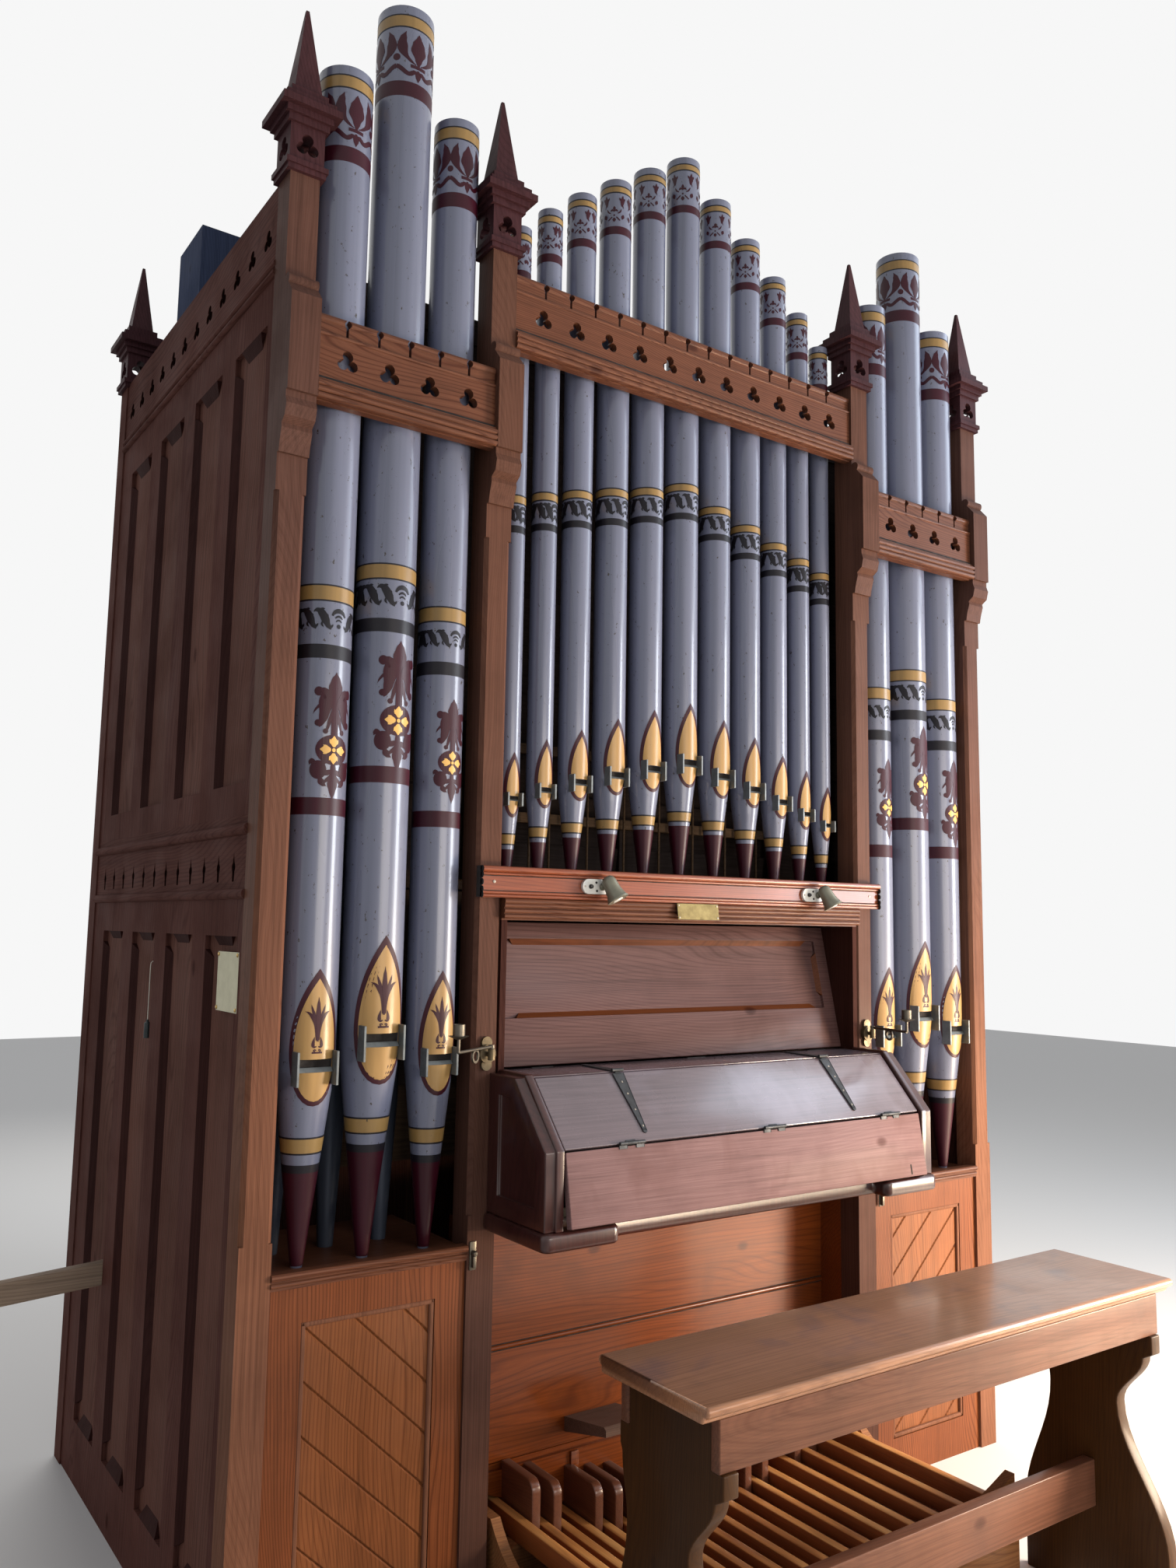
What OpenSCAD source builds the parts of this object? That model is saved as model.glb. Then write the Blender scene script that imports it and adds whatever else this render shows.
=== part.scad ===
// Small pipe organ in a panelled timber case, with a projecting key desk,
// a pedalboard and a bench. Millimetres, +Z up, the front faces -Y.
// The origin is on the floor, in the middle of the plane of the front posts.

/* [Case] */
// Depth of the case over its corner posts
case_d = 1383; // [1250:1:1500]
// Side of the square posts
post_w = 67; // [60:1:75]
// Clear width between the two inner posts
centre_bay_w = 1157; // [1040:1:1290]
// Height of the top of the plain upper shaft of each post
shaft_top = 3080; // [3070:5:3120]
// Height of the blind roll on the front of each post
roll_z = 2838; // [2830:1:2850]
// Height where the thick section of the post ends
thick_low_z = 2576; // [2565:1:2585]
// Height where the corbel under the thick section ends
corbel_low_z = 2451; // [2420:1:2470]
// How far the thick section stands proud of the post
thick_proud = 43; // [35:1:50]
// Width of the chamfer on the front edges of the lower shaft
post_chamfer = 9; // [6:1:12]

/* [Pinnacles] */
// Side of the pierced block
block_w = 78; // [74:1:84]
// Height of the pierced block
block_h = 84; // [80:1:95]
// Height of the stepped cap above the block
cap_h = 84; // [75:1:95]
// Height of the spire above the cap
spire_h = 214; // [190:1:240]
// Side of the spire at its foot
spire_w = 64; // [56:1:70]

/* [Rails] */
// Height of the underside of the rails over the side towers
tower_rail_z = 2574; // [2568:1:2580]
// Height of the underside of the rail over the centre bay
centre_rail_z = 2848; // [2842:1:2860]
// Height of a rail from its underside to its crest
rail_h = 199; // [190:1:205]
// Thickness of a rail board
rail_t = 20; // [16:1:22]
// Radius of each lobe of a pierced trefoil
lobe_r = 12; // [10:0.5:13]
// Distance between trefoils
trefoil_pitch = 99; // [92:1:105]
// Distance between the slots in the crest
slot_pitch = 75; // [72:1:80]

/* [Towers] */
// Height of the top of the sill under the side pipes
sill_z = 794; // [780:1:810]
// Height of the sill moulding
sill_h = 32; // [28:1:36]
// Width of the stiles of the panel under the sill
stile_w = 70; // [60:1:80]
// Thickness of framed timber
frame_t = 26; // [22:1:30]
// Thickness of the panel boards
panel_t = 12; // [9:1:15]

/* [Pipes] */
// Distance between the side pipes
tower_pitch = 143.5; // [136:0.5:150]
// Clearance between the outer side pipe and its post
pipe_side_gap = 13.25; // [10:0.25:20]
// Radius of the middle pipe of a side tower
tower_r_mid = 66; // [62:1:68]
// Radius of the outer pipe of a side tower
tower_r_out = 62; // [58:1:64]
// Radius of the inner pipe of a side tower
tower_r_in = 54; // [50:1:58]
// Height of the top of the middle pipe of a side tower
tower_top_mid = 3590; // [3500:10:3650]
// Height of the tops of the two other side pipes
tower_top_side = 3378; // [3330:2:3420]
// Radius of the tallest centre pipe
centre_r = 46; // [44:1:48]
// Height of the top of the tallest centre pipe
centre_top = 3585; // [3500:5:3650]
// How much lower each centre pipe is than the one beside it
centre_step = 76; // [60:1:80]
// Radius of the tip of each pipe foot
pipe_tip_r = 12; // [9:1:14]

/* [Impost] */
// Height of the top of the impost, on which the centre pipes stand
impost_z = 1612; // [1600:1:1620]
// Height of the impost moulding
impost_h = 70; // [64:1:76]
// How far the impost stands proud of the posts
impost_proud = 20; // [14:1:26]

/* [Key desk] */
// Height of the top of the key desk
desk_top_z = 1155; // [1140:1:1170]
// Height where the sloping lid ends at the front
desk_front_z = 1018; // [1005:1:1030]
// Height of the top of the key bed
bed_z = 858; // [850:1:866]
// Thickness of the key bed
bed_t = 38; // [32:1:44]
// How far the key desk stands in front of the posts
desk_out = 232; // [220:1:250]
// How far the hinge line of the lid stands in front of the posts
lid_line = 106; // [95:1:115]
// Thickness of the outer cheeks
cheek_t = 24; // [20:1:28]
// Thickness of the inner cheeks
inner_cheek_t = 20; // [16:1:22]
// Thickness of the lid boards
lid_t = 18; // [15:1:20]
// Clearance between the moving boards and what is beside them
lid_gap = 5; // [5:1:7]

/* [Pedals and bench] */
// Distance between the natural pedals
pedal_pitch = 57; // [54:1:60]
// Width of a pedal
pedal_w = 23; // [18:1:26]
// Height of the bench
bench_z = 719; // [690:1:740]
// Length of the bench top
bench_l = 1367; // [1300:1:1400]
// Depth of the bench top
bench_d = 303; // [280:1:320]
// Thickness of the bench top
bench_t = 30; // [24:1:36]

/* [Hidden] */
$fn = 48;
bay_w = 2 * (tower_pitch + tower_r_out + pipe_side_gap);
inner_x = centre_bay_w / 2 + post_w / 2;
corner_x = inner_x + bay_w + post_w;
half_w = corner_x + post_w / 2;
front_y = -post_w / 2;
rear_post_y = case_d - post_w;
back_y = rear_post_y + post_w / 2;
bay_x = (corner_x + inner_x) / 2;
side_d = rear_post_y - post_w;
ring_h = 24;

// Extrudes a profile drawn as (y, z) along X, centred
module along_x(length) {
    translate([-length / 2, 0, 0]) rotate([90, 0, 90]) linear_extrude(length) children();
}

// Extrudes a profile drawn as (x, z) along Y, from y0 towards the back
module along_y(y0, length) {
    translate([0, y0 + length, 0]) rotate([90, 0, 0]) linear_extrude(length) children();
}

module box(x0, x1, y0, y1, z0, z1) {
    translate([x0, y0, z0]) cube([x1 - x0, y1 - y0, z1 - z0]);
}

// Three round holes that run into each other, cut along Y
lobe_reach = 1.08;
module trefoil_y(x, z, y0, y1, r = lobe_r) {
    for (a = [90, 210, 330])
        translate([x + lobe_reach * r * cos(a), y1, z + lobe_reach * r * sin(a)])
            rotate([90, 0, 0]) cylinder(r = r, h = y1 - y0);
    translate([x, y1, z]) rotate([90, 0, 0]) cylinder(r = r / 2, h = y1 - y0);
}

module trefoil_x(y, z, x0, x1, r = lobe_r) {
    for (a = [90, 210, 330])
        translate([x0, y + lobe_reach * r * cos(a), z + lobe_reach * r * sin(a)])
            rotate([0, 90, 0]) cylinder(r = r, h = x1 - x0);
    translate([x0, y, z]) rotate([0, 90, 0]) cylinder(r = r / 2, h = x1 - x0);
}

// Posts
module post(x, y, proud = true) {
    color("saddlebrown") difference() {
        union() {
            box(x - post_w / 2, x + post_w / 2, y - post_w / 2, y + post_w / 2, 0, shaft_top);
            if (proud) translate([x, y - post_w / 2, 0]) along_x(post_w) thick_profile();
        }
        if (proud) for (side = [-1, 1])
            translate([x + side * post_w / 2, y - post_w / 2, sill_z + 60]) rotate([0, 0, 45])
                translate([-post_chamfer / sqrt(2), -post_chamfer / sqrt(2), 0])
                    cube([post_chamfer * sqrt(2), post_chamfer * sqrt(2), corbel_low_z - sill_z - 140]);
    }
}

// Thick section, its roll above and its corbel below, as (y, z) from the post face
module thick_profile() {
    mid_z = (thick_low_z + corbel_low_z) / 2;
    polygon([[0, roll_z], [-14, roll_z - 14], [-thick_proud, roll_z - 48],
        [-thick_proud, thick_low_z], [-thick_proud + 8, thick_low_z], [-thick_proud + 8, thick_low_z - 14],
        [-thick_proud + 2, thick_low_z - 30], [-thick_proud + 8, mid_z + 8], [-18, mid_z - 4], [-20, mid_z - 14],
        [-12, corbel_low_z + 22], [-8, corbel_low_z], [0, corbel_low_z]]);
    translate([-10, roll_z - 10]) circle(14);
}

pinnacle_h = ring_h + block_h + cap_h + spire_h;
module pinnacle(x, y) {
    z1 = shaft_top + ring_h;
    z2 = z1 + block_h;
    z3 = z2 + cap_h;
    translate([x, y, 0]) {
        difference() {
            union() {
                square_step(block_w + 8, shaft_top, z1 - ring_h / 2);
                square_step(block_w + 16, z1 - ring_h / 2, z1);
                square_step(block_w, z1, z2);
                square_step(block_w + 14, z2, z2 + 16);
                square_step(block_w + 28, z2 + 16, z2 + 30);
                square_step(block_w + 56, z2 + 30, z2 + 46);
                square_step(block_w + 34, z2 + 46, z2 + 62);
                square_step(block_w + 6, z2 + 62, z3);
            }
            trefoil_y(0, z1 + block_h / 2 - 3, -block_w, block_w, 13);
            trefoil_x(0, z1 + block_h / 2 - 3, -block_w, block_w, 13);
        }
        translate([0, 0, z3]) rotate([0, 0, 45])
            cylinder(r1 = spire_w / sqrt(2), r2 = 5, h = spire_h, $fn = 4);
    }
}

module square_step(side, z0, z1) {
    box(-side / 2, side / 2, -side / 2, side / 2, z0, z1);
}

// The caps of the front pinnacles are notched round the side pipes
pipe_notch = 1;
module pinnacles() color("sienna") {
    difference() {
        for (x = [-corner_x, -inner_x, inner_x, corner_x]) pinnacle(x, 0);
        for (side = [-1, 1]) {
            translate([side * (bay_x + tower_pitch), tower_pipe_y, shaft_top - 1])
                cylinder(r = tower_r_out + pipe_notch, h = pinnacle_h);
            translate([side * (bay_x - tower_pitch), tower_pipe_y, shaft_top - 1])
                cylinder(r = tower_r_in + pipe_notch, h = pinnacle_h);
        }
    }
    for (x = [-corner_x, corner_x]) pinnacle(x, rear_post_y);
}

// Pierced rails with a crest above and a reeded moulding below
module rail_profile() {
    band_z = rail_h - 45;
    translate([0, 54]) square([rail_t, band_z - 54]);
    translate([4, band_z - 1]) square([rail_t - 8, rail_h - band_z - 8]);
    translate([rail_t / 2, rail_h - 10]) circle(10);
    square([rail_t, 55]);
    translate([-3, 12]) circle(9);
    translate([-5, 30]) circle(8);
    translate([-9, 4]) square([rail_t, 44]);
}

slot_margin = 40;
module rail(x, y, z, length) color("peru") difference() {
    trefoils = floor(length / trefoil_pitch);
    slots = floor((length - slot_margin) / slot_pitch);
    translate([x, y, z]) along_x(length) rail_profile();
    for (i = [0 : trefoils - 1])
        trefoil_y(x + (i - (trefoils - 1) / 2) * trefoil_pitch, z + 101, y - 20, y + rail_t + 20);
    for (i = [0 : slots - 1]) translate([x + (i - (slots - 1) / 2) * slot_pitch, 0, z + rail_h]) {
        box(-3, 3, y - 20, y + rail_t + 20, -44, 20);
        translate([0, y + rail_t + 20, -12]) rotate([90, 0, 0]) cylinder(r = 8, h = rail_t + 40);
    }
}

tower_rail_y = front_y - thick_proud + 17;
centre_rail_y = front_y + 8;
module left_tower_rail() rail(-bay_x, tower_rail_y, tower_rail_z, bay_w);
module right_tower_rail() rail(bay_x, tower_rail_y, tower_rail_z, bay_w);
module centre_rail() rail(0, centre_rail_y, centre_rail_z, centre_bay_w);

// Sills and framed panels under the side pipes
toe_z = sill_z - 8;
toe_back = 330;
module tower_sill(side) color("sienna") {
    translate([side * bay_x, 0, 0]) {
        along_x(bay_w) {
            translate([front_y, sill_z - sill_h]) square([20, sill_h]);
            translate([front_y, sill_z - 7]) circle(7);
            translate([front_y + 1, sill_z - 22]) circle(5);
        }
        box(-bay_w / 2, bay_w / 2, front_y + 20, toe_back, toe_z - 22, toe_z);
    }
}

module left_tower_sill() tower_sill(-1);
module right_tower_sill() tower_sill(1);

module tower_panel(side) {
    frame_y = front_y + 8;
    top_z = sill_z - sill_h;
    translate([side * bay_x, 0, 0]) color("peru") difference() {
        box(-bay_w / 2, bay_w / 2, frame_y, frame_y + frame_t, 0, top_z);
        box(-bay_w / 2 + stile_w, bay_w / 2 - stile_w, frame_y - 1, frame_y + frame_t - panel_t, 100, top_z - stile_w);
    }
}

module left_tower_panel() tower_panel(-1);
module right_tower_panel() tower_panel(1);

// Side walls: an upper and a lower frame of four tall panels, with a pierced frieze between
side_t = 24;
side_in = 4;
upper_low_z = 1700;
upper_high_z = 2866;
lower_high_z = 1524;
panel_top_z = 2775;
panel_low_z = 1770;
lower_panel_top_z = 1448;
lower_panel_low_z = 150;
side_panels = 4;
side_front_stile = 40;
side_rear_stile = 107;
side_muntin = 94;
side_pitch = (side_d - side_front_stile - side_rear_stile + side_muntin) / side_panels;
side_panel_w = side_pitch - side_muntin;
side_mid_y = post_w / 2 + side_d / 2;
side_trefoil_pitch = 102;
side_keyhole_pitch = 98;
side_crest_h = 220;
function panel_y(i) = post_w / 2 + side_front_stile + side_panel_w / 2 + i * side_pitch;

module side_frame() {
    x1 = half_w - side_in;
    for (z = [[upper_low_z, upper_high_z, panel_low_z, panel_top_z], [0, lower_high_z, lower_panel_low_z, lower_panel_top_z]])
        color("saddlebrown") difference() {
            box(x1 - side_t, x1, post_w / 2, post_w / 2 + side_d, z[0], z[1]);
            for (i = [0 : side_panels - 1])
                box(x1 - side_t - 1, x1 + 1, panel_y(i) - side_panel_w / 2, panel_y(i) + side_panel_w / 2, z[2], z[3]);
        }
}

module side_panels() {
    x1 = half_w - side_in - side_t / 2;
    for (z = [[panel_low_z, panel_top_z], [lower_panel_low_z, lower_panel_top_z]])
        for (i = [0 : side_panels - 1]) color("saddlebrown") difference() {
            box(x1 - panel_t, x1, panel_y(i) - side_panel_w / 2, panel_y(i) + side_panel_w / 2, z[0], z[1]);
            if (z[0] == lower_panel_low_z && i == side_panels - 1)
                box(0, half_w, lever_y - lever_slot_w / 2, lever_y + lever_slot_w / 2, lever_z - lever_slot_h / 2, lever_z + lever_slot_h / 2);
        }
}

// Bottle-shaped hole through the lower frieze: a round body and a neck that narrows to a point
keyhole_z = 1592;
keyhole_r = 11;
keyhole_top = 1624;
keyhole_low = 1562;
module keyhole_x(y, x0, x1) {
    translate([x0, y, 0]) rotate([90, 0, 90]) linear_extrude(x1 - x0) {
        translate([0, keyhole_z]) circle(keyhole_r);
        polygon([[-keyhole_r + 3, keyhole_z], [-keyhole_r + 5, keyhole_low], [keyhole_r - 5, keyhole_low],
            [keyhole_r - 3, keyhole_z], [0, keyhole_top]]);
    }
}

module side_friezes() {
    x0 = half_w - side_in - side_t;
    color("saddlebrown") difference() {
        union() {
            along_y(post_w / 2, side_d) {
                translate([x0, lower_high_z]) square([side_t, upper_low_z - lower_high_z]);
                translate([x0 + side_t, lower_high_z + 12]) circle(11);
                translate([x0 + side_t, upper_low_z - 30]) circle(12);
            }
            along_y(post_w / 2, side_d) {
                translate([x0, upper_high_z]) square([side_t, side_crest_h]);
                translate([x0 + side_t, upper_high_z + 14]) circle(9);
                translate([x0 + side_t, upper_high_z + 34]) circle(8);
                translate([x0 + side_t / 2, upper_high_z + side_crest_h]) circle(10);
            }
        }
        for (y = [0, rear_post_y]) translate([corner_x, y, 0])
            square_step(block_w + 16, shaft_top, shaft_top + ring_h);
        trefoils = floor(side_d / side_trefoil_pitch);
        for (i = [0 : trefoils - 1])
            trefoil_x(side_mid_y + (i - (trefoils - 1) / 2) * side_trefoil_pitch, 2980, x0 - 20, half_w + 20);
        keyholes = floor(side_d / side_keyhole_pitch);
        for (i = [0 : keyholes - 1]) {
            y = side_mid_y + (i - (keyholes - 1) / 2) * side_keyhole_pitch;
            keyhole_x(y, x0 - 20, half_w + 20);
        }
    }
}

module left_side_frame() {
    mirror([1, 0, 0]) side_frame();
    lever_bracket();
}
module right_side_frame() side_frame();
module left_side_panels() mirror([1, 0, 0]) side_panels();
module right_side_panels() side_panels();
module left_side_friezes() mirror([1, 0, 0]) side_friezes();
module right_side_friezes() side_friezes();

// Back wall
back_w = 2 * (corner_x - post_w / 2);
back_columns = 7;
back_muntin = 80;
back_pitch = back_w / back_columns;
back_mid_z = [1448, 1650];
back_top_z = 2850;
back_rail_h = 116;
module back_fields(thickness) {
    for (i = [0 : back_columns - 1], z = [[lower_panel_low_z, back_mid_z[0]], [back_mid_z[1], back_top_z]])
        translate([(i - (back_columns - 1) / 2) * back_pitch, rear_post_y, 0])
            box(-(back_pitch - back_muntin) / 2, (back_pitch - back_muntin) / 2, -thickness / 2, thickness / 2, z[0], z[1]);
}

module back_frame() color("saddlebrown") difference() {
    box(-back_w / 2, back_w / 2, rear_post_y - side_t / 2, rear_post_y + side_t / 2, 0, back_top_z + back_rail_h);
    back_fields(2 * side_t);
}

module back_panels() color("saddlebrown") back_fields(panel_t);

// Impost across the centre bay, and the board that carries the centre pipes
module impost() color("sienna") translate([0, front_y, impost_z - impost_h]) along_x(centre_bay_w + 2 * post_w) {
    translate([-impost_proud, 0]) square([impost_proud, impost_h - 14]);
    translate([-impost_proud - 5, impost_h - 14]) square([impost_proud + 5, 14]);
    translate([-impost_proud - 5, impost_h - 7]) circle(7);
    for (z = [4, 11, impost_h - 17]) translate([-impost_proud, z]) circle(3.5);
}

toe_board_t = 24;
toe_board_back = 400;
module centre_toe_board() color("sienna")
    box(-centre_bay_w / 2, centre_bay_w / 2, front_y, toe_board_back, impost_z - toe_board_t, impost_z);

desk_rail_h = 38;
desk_rail_z = impost_z - impost_h - desk_rail_h - 12;
module desk_rail() color("sienna") translate([0, front_y, desk_rail_z]) along_x(centre_bay_w) {
    square([28, impost_z - toe_board_t - desk_rail_z]);
    translate([-9, 4]) square([10, desk_rail_h + 6]);
    for (z = [9, 21, 33]) translate([-9, z]) circle(5.5);
    translate([-9, desk_rail_h + 5]) circle(7);
}

// Music desk: a sloping board with a sunk panel between two triangular cheeks
desk_lean = 76;
music_t = 20;
music_low_y = 12;
cheek_board_t = 15;
module music_desk() {
    rise = desk_rail_z - desk_top_z;
    angle = atan(desk_lean / rise);
    length = sqrt(rise * rise + desk_lean * desk_lean) - 8;
    w = centre_bay_w - 2 * cheek_board_t;
    color("saddlebrown") translate([0, music_low_y, desk_top_z + 4]) rotate([-angle, 0, 0]) difference() {
        box(-w / 2, w / 2, 0, music_t, 0, length);
        box(-w / 2 + 40, w / 2 - 40, -1, 10, 110, length - 40);
    }
}

module music_desk_cheeks() {
    rise = desk_rail_z - desk_top_z;
    for (side = [-1, 1]) color("saddlebrown")
        translate([side * (centre_bay_w / 2 - cheek_board_t / 2), 0, desk_top_z]) along_x(cheek_board_t)
            polygon([[front_y, 0], [music_low_y + music_t + 8, 0], [music_low_y + desk_lean + music_t + 8, rise], [front_y, rise]]);
}

// Key desk
desk_w = centre_bay_w + 43;
cheek_in_x = desk_w / 2 - cheek_t - inner_cheek_t;
desk_front_y = front_y - desk_out;
lid_line_y = front_y - lid_line;
module cheek_profile(inset = 0) {
    polygon([[front_y, bed_z], [desk_front_y + inset, bed_z], [desk_front_y + inset, desk_front_z],
        [lid_line_y + inset / 2, desk_top_z], [front_y, desk_top_z]]);
}

module cheek(side) {
    color("saddlebrown") translate([side * (desk_w / 2 - cheek_t / 2), 0, 0]) difference() {
        along_x(cheek_t) cheek_profile();
        translate([side * cheek_t / 2, 0, 0]) along_x(16) offset(delta = -42) cheek_profile();
    }
    color("saddlebrown") translate([side * (desk_w / 2 - cheek_t - inner_cheek_t / 2), 0, 0]) along_x(inner_cheek_t)
        polygon([[music_low_y - 4, bed_z], [desk_front_y - 6, bed_z], [desk_front_y - 6, desk_front_z + 2],
            [lid_line_y - 4, desk_top_z + 6], [front_y, desk_top_z + 6], [front_y, desk_top_z],
            [music_low_y - 4, desk_top_z]]);
}

module left_cheek() cheek(-1);
module right_cheek() cheek(1);

bed_out = 14;
bed_over = 8;
bed_corner = 20;
bed_ledge = 195;
bed_set_back = 30;
module key_bed() color("saddlebrown") {
    w = desk_w / 2 + bed_over;
    for (side = [-1, 1]) translate([side * (w - bed_ledge / 2), 0, bed_z - bed_t]) linear_extrude(bed_t) {
        translate([-bed_ledge / 2, desk_front_y - bed_out + bed_corner])
            square([bed_ledge, front_y - desk_front_y + bed_out - bed_corner]);
        translate([-bed_ledge / 2 + bed_corner, desk_front_y - bed_out]) square([bed_ledge - 2 * bed_corner, bed_corner + 1]);
        for (end = [-1, 1]) translate([end * (bed_ledge / 2 - bed_corner), desk_front_y - bed_out + bed_corner]) circle(bed_corner);
    }
    box(-w + bed_ledge, w - bed_ledge, desk_front_y + bed_set_back, front_y, bed_z - bed_t, bed_z);
    box(-centre_bay_w / 2, centre_bay_w / 2, front_y, knee_y + knee_t, bed_z - bed_t, bed_z);
}

module desk_top_strip() color("saddlebrown") translate([0, lid_line_y, desk_top_z]) along_x(2 * cheek_in_x)
    polygon([[mitre_gap, 0], [mitre_gap + lid_t * tan(lid_angle / 2), -lid_t],
        [music_low_y - 4 - lid_line_y, -lid_t], [music_low_y - 4 - lid_line_y, 0]]);

name_y = front_y - 80;
module name_board() color("saddlebrown")
    box(-cheek_in_x, cheek_in_x, name_y, name_y + 15, bed_z + 120, desk_top_z - lid_t);

// Manuals of 56 notes: 33 naturals and 23 sharps
key_pitch = 23.5;
naturals = 33;
key_gap = 1;
sharp_after = [1, 1, 0, 1, 1, 1, 0];
module manual(z, y0, y1) {
    color("ivory") for (i = [0 : naturals - 1])
        box((i - naturals / 2) * key_pitch + key_gap / 2, (i - naturals / 2 + 1) * key_pitch - key_gap / 2, y0, y1, z - 18, z);
    color("black") for (i = [0 : naturals - 2]) if (sharp_after[i % 7] == 1)
        box((i - naturals / 2 + 1) * key_pitch - 6, (i - naturals / 2 + 1) * key_pitch + 6, y0 + 50, y1, z, z + 11);
    color("saddlebrown") box(-cheek_in_x, cheek_in_x, y0 + 8, y1, z - 40, z - 18);
    for (side = [-1, 1]) color("saddlebrown")
        box(side * (cheek_in_x + naturals * key_pitch / 2 + 2) / 2 - (cheek_in_x - naturals * key_pitch / 2 - 2) / 2,
            side * (cheek_in_x + naturals * key_pitch / 2 + 2) / 2 + (cheek_in_x - naturals * key_pitch / 2 - 2) / 2,
            y0, y1, z - 18, z + 14);
}

key_l = 140;
lower_key_z = 40;
upper_key_z = 105;
key_front = 26;
upper_set_back = 70;
module lower_manual() manual(bed_z + lower_key_z, desk_front_y + key_front, desk_front_y + key_front + key_l);
module upper_manual() manual(bed_z + upper_key_z, desk_front_y + key_front + upper_set_back, name_y + 15);

knob_in = 60;
knob_pitch = 56;
knob_r = 14;
knob_l = 22;
module stop_knobs() color("black") for (side = [-1, 1], row = [0 : 1], i = [0 : 1])
    translate([side * (cheek_in_x - knob_in - knob_pitch * i), name_y, desk_top_z - knob_in - knob_pitch * row])
        rotate([90, 0, 0]) {
            cylinder(r = knob_r / 2, h = knob_l);
            translate([0, 0, knob_l]) cylinder(r = knob_r, h = 12);
    }

// Lid: a sloping board on two strap hinges, with a flap hung from its lower edge.
// Both are drawn with u along the board from its hinge and v out of its face.
pin_out = 5;
mitre_gap = lid_gap / 2;
lid_angle = atan((desk_top_z - desk_front_z) / (desk_out - lid_line));
lid_len = sqrt(pow(desk_top_z - desk_front_z, 2) + pow(desk_out - lid_line, 2));
flap_tilt = 10;
flap_turn = 90 - flap_tilt - lid_angle;
flap_len = 157;
knuckle_r = 4;
strap_x = 330;
strap_l = 150;

module board(length, top_turn, low_turn) {
    polygon([[mitre_gap, 0], [mitre_gap + lid_t * tan(top_turn / 2), -lid_t],
        [length - mitre_gap - lid_t * tan(low_turn / 2), -lid_t], [length - mitre_gap, 0]]);
}

module on_lid() {
    translate([0, lid_line_y, desk_top_z]) rotate([lid_angle, 0, 0]) mirror([0, 1, 0]) children();
}

module on_flap() {
    on_lid() translate([0, lid_len, 0]) mirror([0, 1, 0]) rotate([flap_turn, 0, 0]) mirror([0, 1, 0]) children();
}

module lid() color("saddlebrown") on_lid() along_x(2 * (cheek_in_x - lid_gap)) board(lid_len, lid_angle, flap_turn);

pin_gap = 0.3;
knuckle_l = 14;
leaf_t = 3;

hinge_pin_r = 2;
module knuckle(x, length, r = knuckle_r) {
    translate([x - length / 2, 0, pin_out]) rotate([0, 90, 0]) cylinder(r = r, h = length);
}

module side_knuckles(x, length) {
    for (side = [-1, 1]) knuckle(x + side * (knuckle_l / 2 + pin_gap + length / 2), length);
}

module pin_bore(x, length) {
    knuckle(x, 3 * knuckle_l + 2 * length, hinge_pin_r + pin_play);
}

// Straps on the lid, and the lid's knuckles of the three flap hinges
flap_hinge_x = [-380, 40, 440];
module lid_hinges() color("dimgray") on_lid() {
    for (x = [-strap_x, strap_x]) {
        knuckle(x, knuckle_l);
        knuckle(x, knuckle_l + 2 * strap_knuckle_l, hinge_pin_r);
        box(x - knuckle_l / 2, x + knuckle_l / 2, 2, 9, 0, leaf_t);
        translate([x, 8, 0]) linear_extrude(leaf_t) polygon([[-14, 0], [14, 0], [6, strap_l], [-6, strap_l]]);
    }
    for (x = flap_hinge_x) translate([0, lid_len, 0]) {
        knuckle(x, knuckle_l);
        knuckle(x, knuckle_l + 2 * flap_knuckle_l, hinge_pin_r);
        box(x - knuckle_l / 2, x + knuckle_l / 2, -9, 0, 0, leaf_t);
        box(x - 22, x + 22, -20, -8, 0, leaf_t);
    }
}

strap_knuckle_l = 8;
flap_knuckle_l = 10;
module fixed_straps() color("dimgray") for (x = [-strap_x, strap_x]) {
    difference() {
        union() {
            on_lid() side_knuckles(x, strap_knuckle_l);
            for (side = [-1, 1])
                translate([x + side * (knuckle_l / 2 + pin_gap + strap_knuckle_l / 2) - strap_knuckle_l / 2,
                    lid_line_y - pin_out * sin(lid_angle), desk_top_z]) cube([strap_knuckle_l, 12, leaf_t]);
        }
        on_lid() pin_bore(x, strap_knuckle_l);
    }
    translate([x, lid_line_y + 6, desk_top_z]) linear_extrude(leaf_t)
        polygon([[-15.3, 0], [15.3, 0], [6, strap_l - 26], [-6, strap_l - 26]]);
}

module lid_flap() color("saddlebrown") on_flap() along_x(2 * (cheek_in_x - lid_gap)) board(flap_len, flap_turn, 0);

module flap_hinges() color("dimgray") for (x = flap_hinge_x) difference() {
    union() {
        on_lid() translate([0, lid_len, 0]) side_knuckles(x, flap_knuckle_l);
        on_flap() for (side = [-1, 1])
            translate([x + side * (knuckle_l / 2 + pin_gap + flap_knuckle_l / 2) - 4.5, -4, 0.5]) cube([9, 16, leaf_t]);
    }
    on_lid() translate([0, lid_len, 0]) pin_bore(x, flap_knuckle_l);
}

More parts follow.
